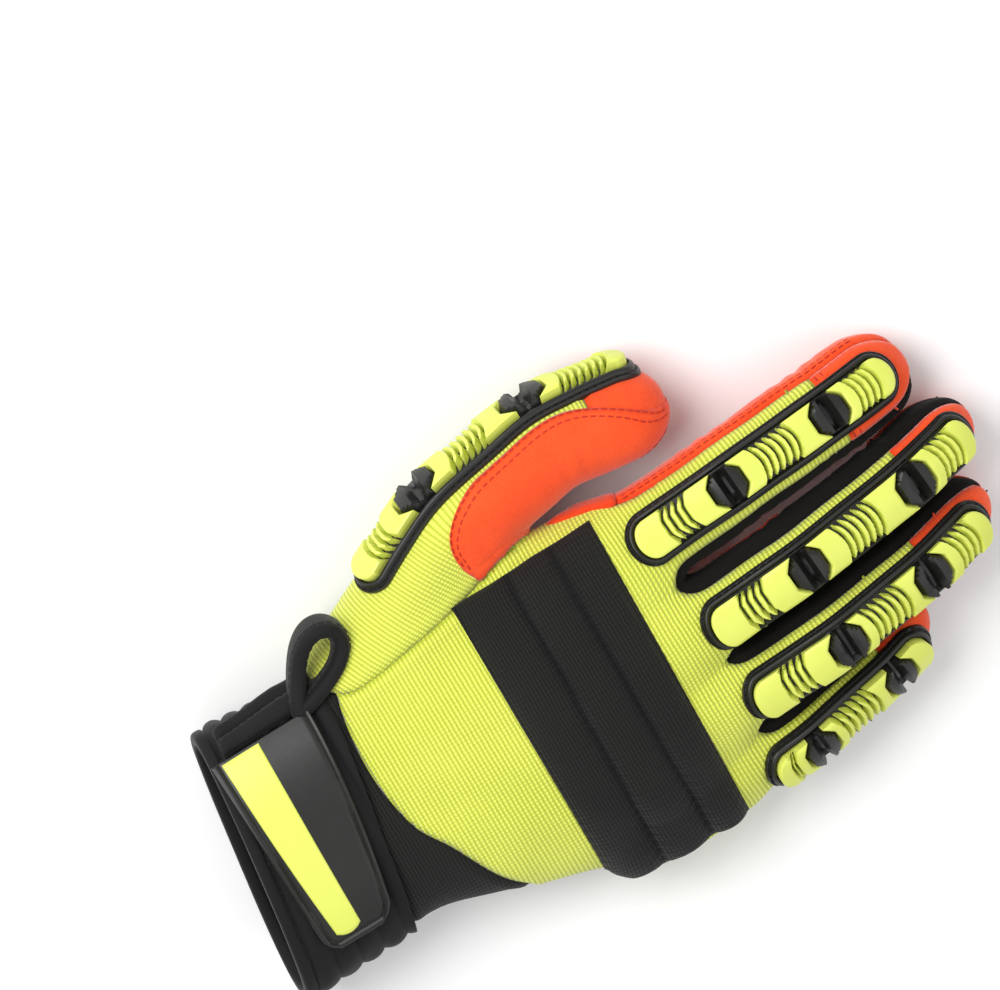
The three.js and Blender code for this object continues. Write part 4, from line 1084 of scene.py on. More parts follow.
PANEL_LOOKS = {
    Panel.BACK: ("back_panel", LIME_KNIT, Slot.LIME_KNIT),
    Panel.ELASTIC: ("wrist_elastic", BLACK_KNIT, Slot.BLACK_KNIT),
    Panel.PALM: ("palm_panel", BLACK_SUEDE, Slot.BLACK_SUEDE),
    Panel.INDEX_TIP: ("index_tip_back", ORANGE_SUEDE, Slot.ORANGE_SUEDE),
    Panel.MIDDLE_TIP: ("middle_tip_back", ORANGE_SUEDE, Slot.ORANGE_SUEDE),
    Panel.RING_TIP: ("ring_tip_back", ORANGE_SUEDE, Slot.ORANGE_SUEDE),
    Panel.LITTLE_TIP: ("little_tip_back", ORANGE_SUEDE, Slot.ORANGE_SUEDE),
    Panel.INDEX_SIDE: ("index_side", ORANGE_SUEDE, Slot.ORANGE_SUEDE),
    Panel.FORK_INDEX_MIDDLE: ("fourchette_index_middle", BLACK_SUEDE, Slot.BLACK_SUEDE),
    Panel.FORK_MIDDLE_RING: ("fourchette_middle_ring", BLACK_SUEDE, Slot.BLACK_SUEDE),
    Panel.FORK_RING_LITTLE: ("fourchette_ring_little", BLACK_SUEDE, Slot.BLACK_SUEDE),
    Panel.LITTLE_SIDE: ("little_side", BLACK_SUEDE, Slot.BLACK_SUEDE),
    Panel.THUMB_BACK: ("thumb_back", LIME_KNIT, Slot.LIME_KNIT),
    Panel.THUMB_FRONT: ("thumb_front", BLACK_SUEDE, Slot.BLACK_SUEDE),
    Panel.THUMB_TIP: ("thumb_tip", ORANGE_SUEDE, Slot.ORANGE_SUEDE),
}


@dataclass
class Shell:
    """The sewn shell: the net of the skin, its panels and what is sewn on them."""

    skin: Skin = field(default_factory=Skin)
    wall: float = 1.5
    low: tuple = (-21.0, -66.0, -0.5)
    high: tuple = (217.0, 97.0, 56.0)
    cuff_seam: tuple = ((-90, -15), (-37.8, -12.7), (0, -7.4), (37.8, -1), (90, 0))
    knit_seam: tuple = ((-90, 31.8), (-54, 29), (-44.3, 24), (-32.4, 16.5), (-15.1, 8.7), (-3.6, 2.6),
                        (12.7, -0.5), (28, -0.4), (44, 2.5), (52, 7), (90, 15))
    fork_x: float = 100.0
    fork_run: float = 15.0
    half_side: float = 32 * RADIANS
    seam_depth: float = 0.75
    seam_reach: float = 1.5
    puff_height: float = 0.25
    puff_inset: float = 3.2
    puff_reach: float = 1.6
    stitch_insets: tuple = (1.3, 4.0)
    stitch_depth: float = 0.28
    stitch_reach: float = 0.5
    edge_round: float = 1.4
    lining_step: float = 3.2
    lining_gap: float = 0.6
    lining_wall: float = 0.4
    thumb_edges: tuple = (-146 * RADIANS, 78 * RADIANS)

    def build_net(self) -> None:
        """Samples the field near the skin and draws the net through it."""
        low, high = np.array(self.low), np.array(self.high)
        blocks = np.ceil((high - low) / (4 * NET_STEP)).astype(int)
        axes = [low[k] + (np.arange(blocks[k]) + 0.375) * 4 * NET_STEP for k in range(3)]
        centres = np.stack(np.meshgrid(*axes, indexing="ij"), -1).reshape(-1, 3)
        coarse = self.skin.gap(centres).reshape(blocks)
        values = coarse.repeat(4, 0).repeat(4, 1).repeat(4, 2)
        near = np.argwhere(np.abs(values) < 7.5)
        values[tuple(near.T)] = self.skin.gap(near * NET_STEP + low)
        points, quads = surface_net(values, low, NET_STEP)
        self.points = self.skin.project(self.relaxed(points, quads), 3)
        self.quads = quads
        self.out, _ = self.skin.normals(self.points)
        self.reading = self.skin.read(self.points)
        log.info("net: %d points", len(points))

    @staticmethod
    def relaxed(points: np.ndarray, quads: np.ndarray, rounds: int = 2) -> np.ndarray:
        """Points drawn towards the mean of their neighbours.

        Args:
            points: Points of the net.
            quads: Its quads.
            rounds: How often they are drawn.

        Returns:
            The moved points.
        """
        a, b = quads.ravel(), np.roll(quads, -1, axis=1).ravel()
        a, b, size = np.concatenate([a, b]), np.concatenate([b, a]), len(points)
        count = np.maximum(np.bincount(a, minlength=size), 1)
        for _ in range(rounds):
            sums = [np.bincount(a, points[b, k], size) for k in range(3)]
            points = points * 0.4 + 0.6 * np.stack(sums, 1) / count[:, None]
        return points

    def seams(self, points: np.ndarray) -> tuple:
        """Signed distances from the seams.

        Args:
            points: Points on the skin.

        Returns:
            One row for each point: back, palm, finger tip, knit, thumb root, thumb tip, two thumb edges and
            cuff; and the reading of the points.
        """
        r = self.skin.read(points)
        x, y = points[:, 0], points[:, 1]
        run = np.clip((x - self.fork_x) / self.fork_run, 0, 1)
        half = self.half_side * np.clip(r.radius, 5, 16) * np.sqrt(1 - (1 - run) ** 2)
        ends = np.array([d.seam * d.span for d in self.skin.digits[:4]])[r.finger]
        knit = x - through(np.array(self.knit_seam), y)[:, 0]
        cuff = x - np.interp(y, *np.array(self.cuff_seam).T) + 1.5
        thumb = self.skin.digits[4]
        tip = r.thumb_s - thumb.seam * thumb.span - 1.5 * np.cos(r.thumb_angle)
        low, high = self.thumb_edges
        edges = [(r.thumb_angle - low) * r.thumb_radius, (high - r.thumb_angle) * r.thumb_radius]
        return np.stack([r.top - half, r.top + half, r.s - ends, knit, r.thumb, tip, *edges, cuff], axis=1), r

    def labels(self, seams: np.ndarray, r: Reading) -> np.ndarray:
        """The panel that each point belongs to.

        Args:
            seams: Signed distances from the seams.
            r: Reading of the points.

        Returns:
            The numbers of the panels.
        """
        back, palm, tip, knit, root, thumb_tip, edge_a, edge_b, cuff = seams.T
        gap = r.finger + (r.angle < 0)
        side = Panel.INDEX_SIDE.value + gap
        hand = np.where(knit < 0, Panel.ELASTIC.value, Panel.BACK.value)
        hand = np.where(tip > 0, Panel.INDEX_TIP.value + r.finger, hand)
        hand = np.where(back > 0, hand, np.where(palm < 0, Panel.PALM.value, side))
        thumb = np.where((edge_a > 0) & (edge_b > 0), Panel.THUMB_BACK.value, Panel.THUMB_FRONT.value)
        thumb = np.where(thumb_tip > 0, Panel.THUMB_TIP.value, thumb)
        return np.where(cuff < 0, Panel.NONE.value, np.where(root < 0, thumb, hand))

    def snapped(self, points: np.ndarray, border: np.ndarray, fields: object) -> np.ndarray:
        """Moves border points along the skin to the nearest zero line of some signed fields.

        Args:
            points: All points.
            border: Which of them to move.
            fields: Function that gives one row of signed fields for each point.

        Returns:
            The points, moved.
        """
        moved = points.copy()
        p = moved[border]
        out = self.out[border]
        step = 0.25
        for _ in range(3):
            here = fields(p)
            pick = np.abs(here).argmin(1)
            row = np.arange(len(p))
            value = here[row, pick]
            changes = [fields(p + e)[row, pick] - fields(p - e)[row, pick] for e in np.eye(3) * step]
            slope = np.stack(changes, 1) / (2 * step)
            slope -= out * (slope * out).sum(1, keepdims=True)
            size = np.maximum((slope**2).sum(1), 0.15)
            p = p - slope * (np.clip(value, -0.9, 0.9) / size)[:, None]
        p = self.skin.project(p, 1)
        reach = np.linalg.norm(p - moved[border], axis=1, keepdims=True)
        moved[border] += (p - moved[border]) * np.minimum(1, 1.1 / np.maximum(reach, 1e-6))
        return moved

    def weave(self, points: np.ndarray, r: Reading, thumb: bool) -> np.ndarray:
        """Coordinates of the knit: across its ribs and along them, in millimetres.

        Args:
            points: Points on the skin.
            r: Their reading.
            thumb: Whether they follow the thumb.

        Returns:
            One row of three numbers for each point.
        """
        if thumb:
            return np.stack([r.thumb_s, r.thumb_angle * r.thumb_radius, r.thumb_s * 0], 1)
        starts = np.array([d.origin for d in self.skin.digits[:4]])[r.finger]
        across = points[:, 0] * (1 - r.share) + (starts[:, 0] + r.s) * r.share
        along = points[:, 1] * (1 - r.share) + (starts[:, 1] + r.angle * r.radius) * r.share
        return np.stack([across, along, across * 0], 1)

    def edge_distance(self, quads: np.ndarray, border: np.ndarray, points: np.ndarray) -> np.ndarray:
        """Distance from the border along the edges of the quads, up to a few millimetres.

        Args:
            quads: Quads of the piece.
            border: Which points are on the border.
            points: All points.

        Returns:
            The distance at each point.
        """
        reach = np.where(border, 0.0, 8.0)
        a, b = quads.ravel(), np.roll(quads, -1, axis=1).ravel()
        length = np.linalg.norm(points[a] - points[b], axis=1)
        for _ in range(7):
            np.minimum.at(reach, b, reach[a] + length)
            np.minimum.at(reach, a, reach[b] + length)
        return reach

    def add_panels(self) -> None:
        """Cuts the net into its panels and adds them, drawn in a little at their seams."""
        centres = self.points[self.quads].mean(1)
        faces = self.labels(*self.seams(centres))
        count = len(self.points)
        first, last = np.full(count, 99), np.full(count, -1)
        for corner in self.quads.T:
            np.minimum.at(first, corner, faces)
            np.maximum.at(last, corner, faces)
        border = (first != last) & (last >= 0)
        points = self.snapped(self.points, border, lambda p: self.seams(p)[0])
        reading = self.skin.read(points)
        reach = self.edge_distance(self.quads, border, points)
        seam = self.seam_depth * np.exp(-((reach / self.seam_reach) ** 2))
        puff = self.puff_height * np.exp(-(((reach - self.puff_inset) / self.puff_reach) ** 2))
        points = points - self.out * seam[:, None]
        points = points + self.out * puff[:, None]
        for panel, (name, finish, slot) in PANEL_LOOKS.items():
            quads = self.quads[faces == panel.value]
            if not len(quads):
                log.warning("%s has no faces", name)
                continue
            weave = self.weave(points, reading, panel is Panel.THUMB_BACK)
            # The distance from the seams goes along as the edge, for the painted seam shade of the finishes.
            piece = Sheet(points, quads, weave, reach).add(name, finish, slot, (name,), self.wall)

    def add_overlay(self, name: str, finish: object, slot: Slot, inside: object, height: float) -> None:
        """Adds a piece that is sewn on the shell where a signed field is more than 0.

        Args:
            name: The piece, and the CAD node that it stands for.
            finish: Its finish.
            slot: Its slot.
            inside: Function that gives the field, in millimetres, at points, from them and their reading.
            height: Thickness of the piece.
        """
        centres = self.points[self.quads].mean(1)
        quads = self.quads[inside(centres, self.skin.read(centres)) > 0]
        uses = np.bincount(quads.ravel(), minlength=len(self.points))
        border = (uses > 0) & (uses < np.bincount(self.quads.ravel(), minlength=len(self.points)))
        points = self.snapped(self.points, border, lambda p: inside(p, self.skin.read(p))[:, None])
        reach = self.edge_distance(quads, border, points)
        rise = height * (0.35 + 0.65 * np.sqrt(np.clip(reach / self.edge_round, 0, 1)))
        near, far = (np.exp(-(((reach - inset) / self.stitch_reach) ** 2)) for inset in self.stitch_insets)
        seam = self.stitch_depth * (near + far)
        points = points + self.out * (rise - seam * min(height, 1.3))[:, None]
        # The distance from the piece's border goes along as the edge, for the painted shade along its edges.
        piece = Sheet(points, quads, None, reach).add(name, finish, slot, (name,), height)

    def add_lining(self) -> None:
        """Adds a coarse dark lining inside the shell."""
        step = self.lining_step
        low = np.array(self.low) + (4, 0, 0)
        counts = np.ceil((np.array(self.high) - low) / step).astype(int)
        axes = [low[k] + np.arange(counts[k]) * step for k in range(3)]
        lattice = np.stack(np.meshgrid(*axes, indexing="ij"), -1).reshape(-1, 3)
        values = self.skin.gap(lattice).reshape(counts) + self.wall + self.lining_gap
        points, quads = surface_net(values, low, step)
        Sheet(points, quads).add("inner_lining", LINING, Slot.BLACK_NEOPRENE, (), self.lining_wall)


@dataclass
class FrontPatch:
    """A suede patch on the front of a finger, between two shares of its length.

    A notch is a rounded cut from the little side, given as its share of the length and its depth.
    """

    name: str
    finger: int
    start: float
    end: float
    notches: tuple = ()
    edge: float = 124 * RADIANS

    def inside(self, points: np.ndarray, r: Reading) -> np.ndarray:
        """Signed distance inside the patch, less its notches.

        Args:
            points: Points on the skin; not used.
            r: Their reading.

        Returns:
            The distance, less than 0 outside.
        """
        length = FINGER_SPANS[self.finger]
        around = (np.abs(r.angle) - self.edge) * np.clip(r.radius, 4, 20)
        inside = np.minimum(around, r.s - self.start * length)
        if self.end < 1:
            inside = np.minimum(inside, self.end * length - r.s)
        aside = (math.pi - np.abs(r.angle)) * r.radius * np.sign(r.angle)
        for at, depth in self.notches:
            tip = np.clip(aside, None, depth)
            cut = np.hypot((r.s - at * length) * 1.25, aside - tip) - 3.2 - 0.1 * (depth - tip)
            inside = np.minimum(inside, cut)
        return np.where(r.finger == self.finger, np.where(r.thumb > 0, inside, -9), -9)


FRONT_PATCHES = (
    FrontPatch("index_front_patch", 0, 0.3, 1.0, ((0.47, -4.0), (0.7, -4.0))),
    FrontPatch("middle_bar_patch", 1, 0.32, 0.5),
    FrontPatch("middle_tip_patch", 1, 0.77, 1.0),
    FrontPatch("ring_bar_patch", 2, 0.3, 0.44),
    FrontPatch("ring_tip_patch", 2, 0.75, 1.0),
    FrontPatch("little_tip_patch", 3, 0.7, 1.0),
)


@dataclass
class PalmPad:
    """A pad on the palm side, inside an outline given in shares of the palm's length and width."""

    name: str
    outline: tuple
    finish: Suede = ORANGE_SUEDE
    slot: Slot = Slot.ORANGE_SUEDE
    height: float = 1.9
    stitch_rows: tuple = (1.4, 4.0)

    def inside(self, points: np.ndarray, r: Reading) -> np.ndarray:
        """Signed distance inside the pad.

        Args:
            points: Points on the skin.
            r: Their reading.

        Returns:
            The distance, less than 0 outside.
        """
        within = inside_distance(curve_through(self.outline), points[:, :2])
        return np.where((r.thumb > -9) & (points[:, 2] < 24), np.minimum(within, 2 - r.top), -9)


PALM_PADS = (
    PalmPad("upper_palm_pad", (
        (0.8, 0.345), (0.93, 0.39), (1.03, 0.35), (1.03, 0.27), (0.97, 0.2), (1.0, 0.14), (1.09, 0.1),
        (1.09, 0.02), (0.98, -0.04), (1.0, -0.11), (1.05, -0.15), (1.02, -0.21), (0.94, -0.26), (0.84, -0.22),
    )),
    PalmPad("centre_palm_pad", (
        (0.73, 0.315), (0.77, -0.215), (0.56, -0.26), (0.36, -0.23), (0.4, -0.075), (0.56, 0.037),
        (0.66, 0.185),
    )),
    PalmPad("thumb_palm_pad", (
        (0.63, 0.29), (0.42, 0.33), (0.2, 0.22), (0.09, 0.05), (0.09, -0.14), (0.17, -0.23), (0.28, -0.22),
        (0.33, -0.05), (0.5, 0.07), (0.6, 0.19),
    )),
    PalmPad("heel_patch", ((0.36, -0.27), (0.2, -0.26), (0.22, -0.36), (0.37, -0.38)), BLACK_SUEDE,
            Slot.BLACK_SUEDE, stitch_rows=(1.4,)),
)
SADDLE_WEB = ((0.53, 0.56), (0.5, 0.64), (0.72, 0.68), (1.0, 0.6), (1.0, 0.455), (0.9, 0.468), (0.69, 0.505))


@dataclass
class Saddle:
    """The suede saddle: a leaf up the thumb's inner side and a band across its fork."""

    middle: float = -127 * RADIANS
    half: float = 88 * RADIANS
    start: float = 0.285
    run: float = 0.2
    narrowing: float = 62 * RADIANS
    web_floor: float = 19.0

    def limit(self, share: np.ndarray) -> np.ndarray:
        """Half width of the leaf as an angle: it opens from its rounded lower end and narrows to the tip.

        Args:
            share: Places along the thumb, in shares of its length.

        Returns:
            The half width, in radians.
        """
        opening = np.clip((share - self.start) / self.run, 0, 1)
        return self.half * np.sqrt(1 - (1 - opening) ** 2) - self.narrowing * smooth((share - 0.68) / 0.36)

    def inside(self, points: np.ndarray, r: Reading) -> np.ndarray:
        """Signed distance inside the saddle.

        Args:
            points: Points on the skin.
            r: Their reading.

        Returns:
            The distance, less than 0 outside.
        """
        off = np.abs((r.thumb_angle - self.middle + math.pi) % (2 * math.pi) - math.pi)
        leaf = (self.limit(r.thumb_s / THUMB_LENGTH) - off) * np.clip(r.thumb_radius, 4, 20)
        leaf = np.where(r.thumb < -0.5, leaf, -9)
        band = inside_distance(curve_through(SADDLE_WEB), points[:, :2])
        band = np.where(r.thumb > -3, np.minimum(band, points[:, 2] - self.web_floor), -9)
        return np.maximum(leaf, band)


@dataclass
class Stitching:
    """Rows of thread: each stitch a low capsule sunk halfway into what it holds."""

    pitch: float = 2.7
    length: float = 2.0
    radius: float = 0.26
    centres: list = field(default_factory=list)
    ahead: list = field(default_factory=list)
    out: list = field(default_factory=list)

    def run(self, path: np.ndarray, out: np.ndarray) -> None:
        """Sets stitches along a path.

        Args:
            path: Points of the path, on the surface.
            out: Directions out of the surface there.
        """
        steps = np.linalg.norm(np.diff(path, axis=0), axis=1)
        at = np.concatenate([[0], np.cumsum(steps)])
        places = np.arange(self.pitch / 2, at[-1], self.pitch)
        if not len(places):
            return
        shifted = [places + shift for shift in (-0.5, 0, 0.5)]
        pick = [np.stack([np.interp(where, at, path[:, k]) for k in range(3)], 1) for where in shifted]
        along = pick[2] - pick[0]
        self.ahead.append(along / np.maximum(np.linalg.norm(along, axis=1, keepdims=True), 1e-6))
        self.centres.append(pick[1])
        self.out.append(np.stack([np.interp(places, at, out[:, k]) for k in range(3)], 1))

    def add(self, name: str, finish: object, slot: Slot) -> None:
        """Adds all stitches as one piece.

        Args:
            name: Name of the piece.
            finish: Its finish.
            slot: Slot of the record.
        """
        centres, ahead, out = (np.concatenate(part) for part in (self.centres, self.ahead, self.out))
        aside = np.cross(out, ahead)
        stations = np.array([(-0.5, 0.25), (-0.36, 0.9), (0, 1.0), (0.36, 0.9), (0.5, 0.25)])
        turns = np.arange(6) * math.pi / 3
        x = np.repeat(stations[:, 0] * self.length, 6)
        y = np.outer(stations[:, 1], np.cos(turns)).ravel() * self.radius
        z = np.outer(stations[:, 1], np.sin(turns)).ravel() * self.radius
        parts = [part[:, None, :] * size[None, :, None] for part, size in ((ahead, x), (aside, y), (out, z))]
        points = (centres[:, None, :] + sum(parts)).reshape(-1, 3)
        shape = lattice_quads(5, 6, closed=True)
        ends = np.array([(0, 3, 2, 1), (0, 5, 4, 3), (24, 25, 26, 27), (24, 27, 28, 29)])
        shape = np.concatenate([shape, ends[:, ::-1]])
        quads = (shape[None] + (np.arange(len(centres)) * 30)[:, None, None]).reshape(-1, 4)
        Sheet(points, quads[:, ::-1]).add(name, finish, slot)


@dataclass
class Seamstress:
    """Lays the visible rows of stitches on the shell and its patches."""

    shell: Shell
    red: Stitching = field(default_factory=Stitching)
    black: Stitching = field(default_factory=Stitching)

    def on_digit(self, thread: Stitching, digit: Digit, s: np.ndarray, angle: np.ndarray,
                 height: float) -> None:
        """A row along places and angles of a digit, at a height above the skin.

        Args:
            thread: Where the stitches go.
            digit: The digit.
            s: Places along it.
            angle: Angles round it.
            height: Height above the skin.
        """
        s, angle = np.broadcast_arrays(np.asarray(s, float), np.asarray(angle, float))
        path = self.shell.skin.project(digit.surface(s, angle), 2)
        out, _ = self.shell.skin.normals(path)
        thread.run(path + out * height, out)

    def on_plan(self, thread: Stitching, plan: np.ndarray, z: float, height: float) -> None:
        """A row along a plan curve, taken to the skin from a starting height.

        Args:
            thread: Where the stitches go.
            plan: Points of the curve.
            z: Starting height.
            height: Height above the skin.
        """
        start = np.column_stack([plan, np.full(len(plan), z)])
        path = self.shell.skin.project(start, 4)
        out, _ = self.shell.skin.normals(path)
        thread.run(path + out * height, out)

    def sew(self) -> None:
        """Lays every row, and adds the red stitches and the black ones."""
        self.sew_fingers()
        self.sew_pads()
        self.sew_thumb()
        self.red.add("suede_stitches", RED_THREAD, Slot.ORANGE_SUEDE)
        self.black.add("black_stitches", BLACK_THREAD, Slot.BLACK_SUEDE)

    def sew_fingers(self) -> None:
        """Lays the rows behind the tips, along the index finger and at the ends of the front patches."""
        fingers = self.shell.skin.digits
        run = np.linspace(0, 1, 60)
        for digit in fingers[:4]:
            seam = digit.seam * digit.span
            for inset in (1.2, 3.2):
                self.on_digit(self.red, digit, seam + inset, (run - 0.5) * 94 * RADIANS, 0.1)
        index = fingers[0]
        start = 26
        for edge in (61.5, 68.5):
            self.on_digit(self.red, index, start + run * (0.9 * index.span - start), edge * RADIANS, 0.1)
        for patch in FRONT_PATCHES:
            digit = fingers[patch.finger]
            around = np.linspace(128, 232, 50) * RADIANS
            ends = [patch.start * digit.span + inset for inset in (1.3, 4.0)]
            ends += [patch.end * digit.span - inset for inset in (1.3, 4.0)] if patch.end < 1 else []
            for s in ends:
                self.on_digit(self.red, digit, s, around, 0.95)

    def sew_pads(self) -> None:
        """Lays the rows inside the edges of the palm pads."""
        for pad in PALM_PADS:
            curve = curve_through(pad.outline)
            tangent = np.roll(curve, -1, axis=0) - np.roll(curve, 1, axis=0)
            tangent /= np.linalg.norm(tangent, axis=1, keepdims=True)
            inwards = np.column_stack([-tangent[:, 1], tangent[:, 0]])
            if inside_distance(curve, curve[:1] + inwards[:1])[0] < 0:
                inwards = -inwards
            thread = self.red if pad.slot is Slot.ORANGE_SUEDE else self.black
            for inset in pad.stitch_rows:
                ring = curve + inwards * inset
                ring = ring[inside_distance(curve, ring) > inset - 0.4]
                self.on_plan(thread, np.vstack([ring, ring[:1]]), 3.0, 1.6)

    def sew_thumb(self) -> None:
        """Lays the rows of the saddle's leaf, behind the thumb's tip and along its back."""
        thumb = self.shell.skin.digits[4]
        saddle = Saddle()
        share = np.linspace(0.3, 0.97, 110)
        for side in (-1, 1):
            for inset in (1.3, 4.0):
                angle = saddle.middle + side * (saddle.limit(share) - inset / 15.5)
                self.on_digit(self.red, thumb, share * thumb.span, angle, 0.95)
        seam = thumb.seam * thumb.span
        angle = np.linspace(-34, 74, 50) * RADIANS
        for inset in (1.4, 3.6):
            self.on_digit(self.red, thumb, seam + inset + 1.5 * np.cos(angle), angle, 0.1)
        for edge, end in ((80.5, 0.75), (-148.5, 0.27)):
            self.on_digit(self.black, thumb, np.linspace(0.12, end, 70) * thumb.span, edge * RADIANS, 0.05)


@dataclass
class KnucklePad:
    """Padded knit over the knuckles: three crowned bands between stitched grooves."""

    skin: Skin
    edges: tuple = ((0.434, 0.426), (0.616, 0.58), (0.76, 0.74), (0.9, 0.862))
    thumb_end: float = 0.452 * PALM_WIDTH
    little_end: float = -0.545 * PALM_WIDTH
    height: float = 4.6
    step: float = 0.65
    rows: int = 96
    crown_power: float = 0.8
    hem: float = 3.2
    pucker_height: float = 0.22
    pucker_pitch: float = 3.4
    drape: tuple = (62.0, 20.0)

    def add(self) -> None:
        """Adds the pad: a grid between its outer edges, raised across each band by a power of a parabola."""
        count = int((self.thumb_end - self.little_end) / self.step)
        columns = np.linspace(self.thumb_end, self.little_end, count)
        share = (self.thumb_end - columns) / (self.thumb_end + 0.75 * PALM_WIDTH)
        marks = [PALM_LENGTH * (a + (b - a) * share) for a, b in self.edges]
        v = np.linspace(0, 3, self.rows)[:, None]
        band = np.clip(v.astype(int), 0, 2)
        part = v - band
        starts, ends = np.array(marks[:3]), np.array(marks[1:])
        column = np.arange(len(columns))[None, :]
        x = starts[band, column] + (ends - starts)[band, column] * part
        y = np.broadcast_to(columns, x.shape)
        width = (ends - starts)[band, column]
        crown = np.clip(4 * part * (1 - part), 0, 1) ** self.crown_power
        groove_in = np.minimum(part, 1 - part) * width
        crown = crown * (1 - 0.5 * np.exp(-((groove_in / 1.1) ** 2)))
        edge = np.minimum(self.thumb_end - y, y - self.little_end)
        hem = np.sqrt(np.clip(edge / self.hem, 0, 1))
        swell = 1 + 0.05 * np.sin(y / 6.3 + 2 * band) + 0.04 * np.sin(y / 2.9 + x / 5)
        ripple = np.sin(y * 2 * math.pi / self.pucker_pitch)
        pucker = self.pucker_height * np.exp(-((groove_in / 2.2) ** 2)) * ripple
        height = 0.5 + (self.height - 0.9) * crown * hem * swell + pucker * hem
        foot = self.skin.project(self.draped(x, y).reshape(-1, 3), 2)
        out, _ = self.skin.normals(foot)
        foot, out = foot.reshape(*x.shape, 3), out.reshape(*x.shape, 3)
        sheet = plate(foot + out * height[..., None], foot - out * 0.8)
        sheet.weave = np.tile(np.stack([x, y, x * 0], -1).reshape(-1, 3), (2, 1))
        # The distance in from the grooves goes to the knit finish as its edge, which paints shade into the
        # grooves.
        sheet.edge = np.tile(groove_in.ravel(), 2)
        piece = sheet.add("knuckle_pad", BLACK_KNIT, Slot.BLACK_KNIT, ("knuckle_pad",))

    def draped(self, x: np.ndarray, y: np.ndarray) -> np.ndarray:
        """Points on top of the skin over plan places, found by halving between two heights.

        Args:
            x: Places along the glove.
            y: Places across it.

        Returns:
            The points.
        """
        high, low = (np.full(x.shape, end) for end in self.drape)
        for _ in range(12):
            middle = (high + low) / 2
            outside = self.skin.gap(np.stack([x, y, middle], -1).reshape(-1, 3)).reshape(x.shape) > 0
            high, low = np.where(outside, middle, high), np.where(outside, low, middle)
        return np.stack([x, y, high], -1)


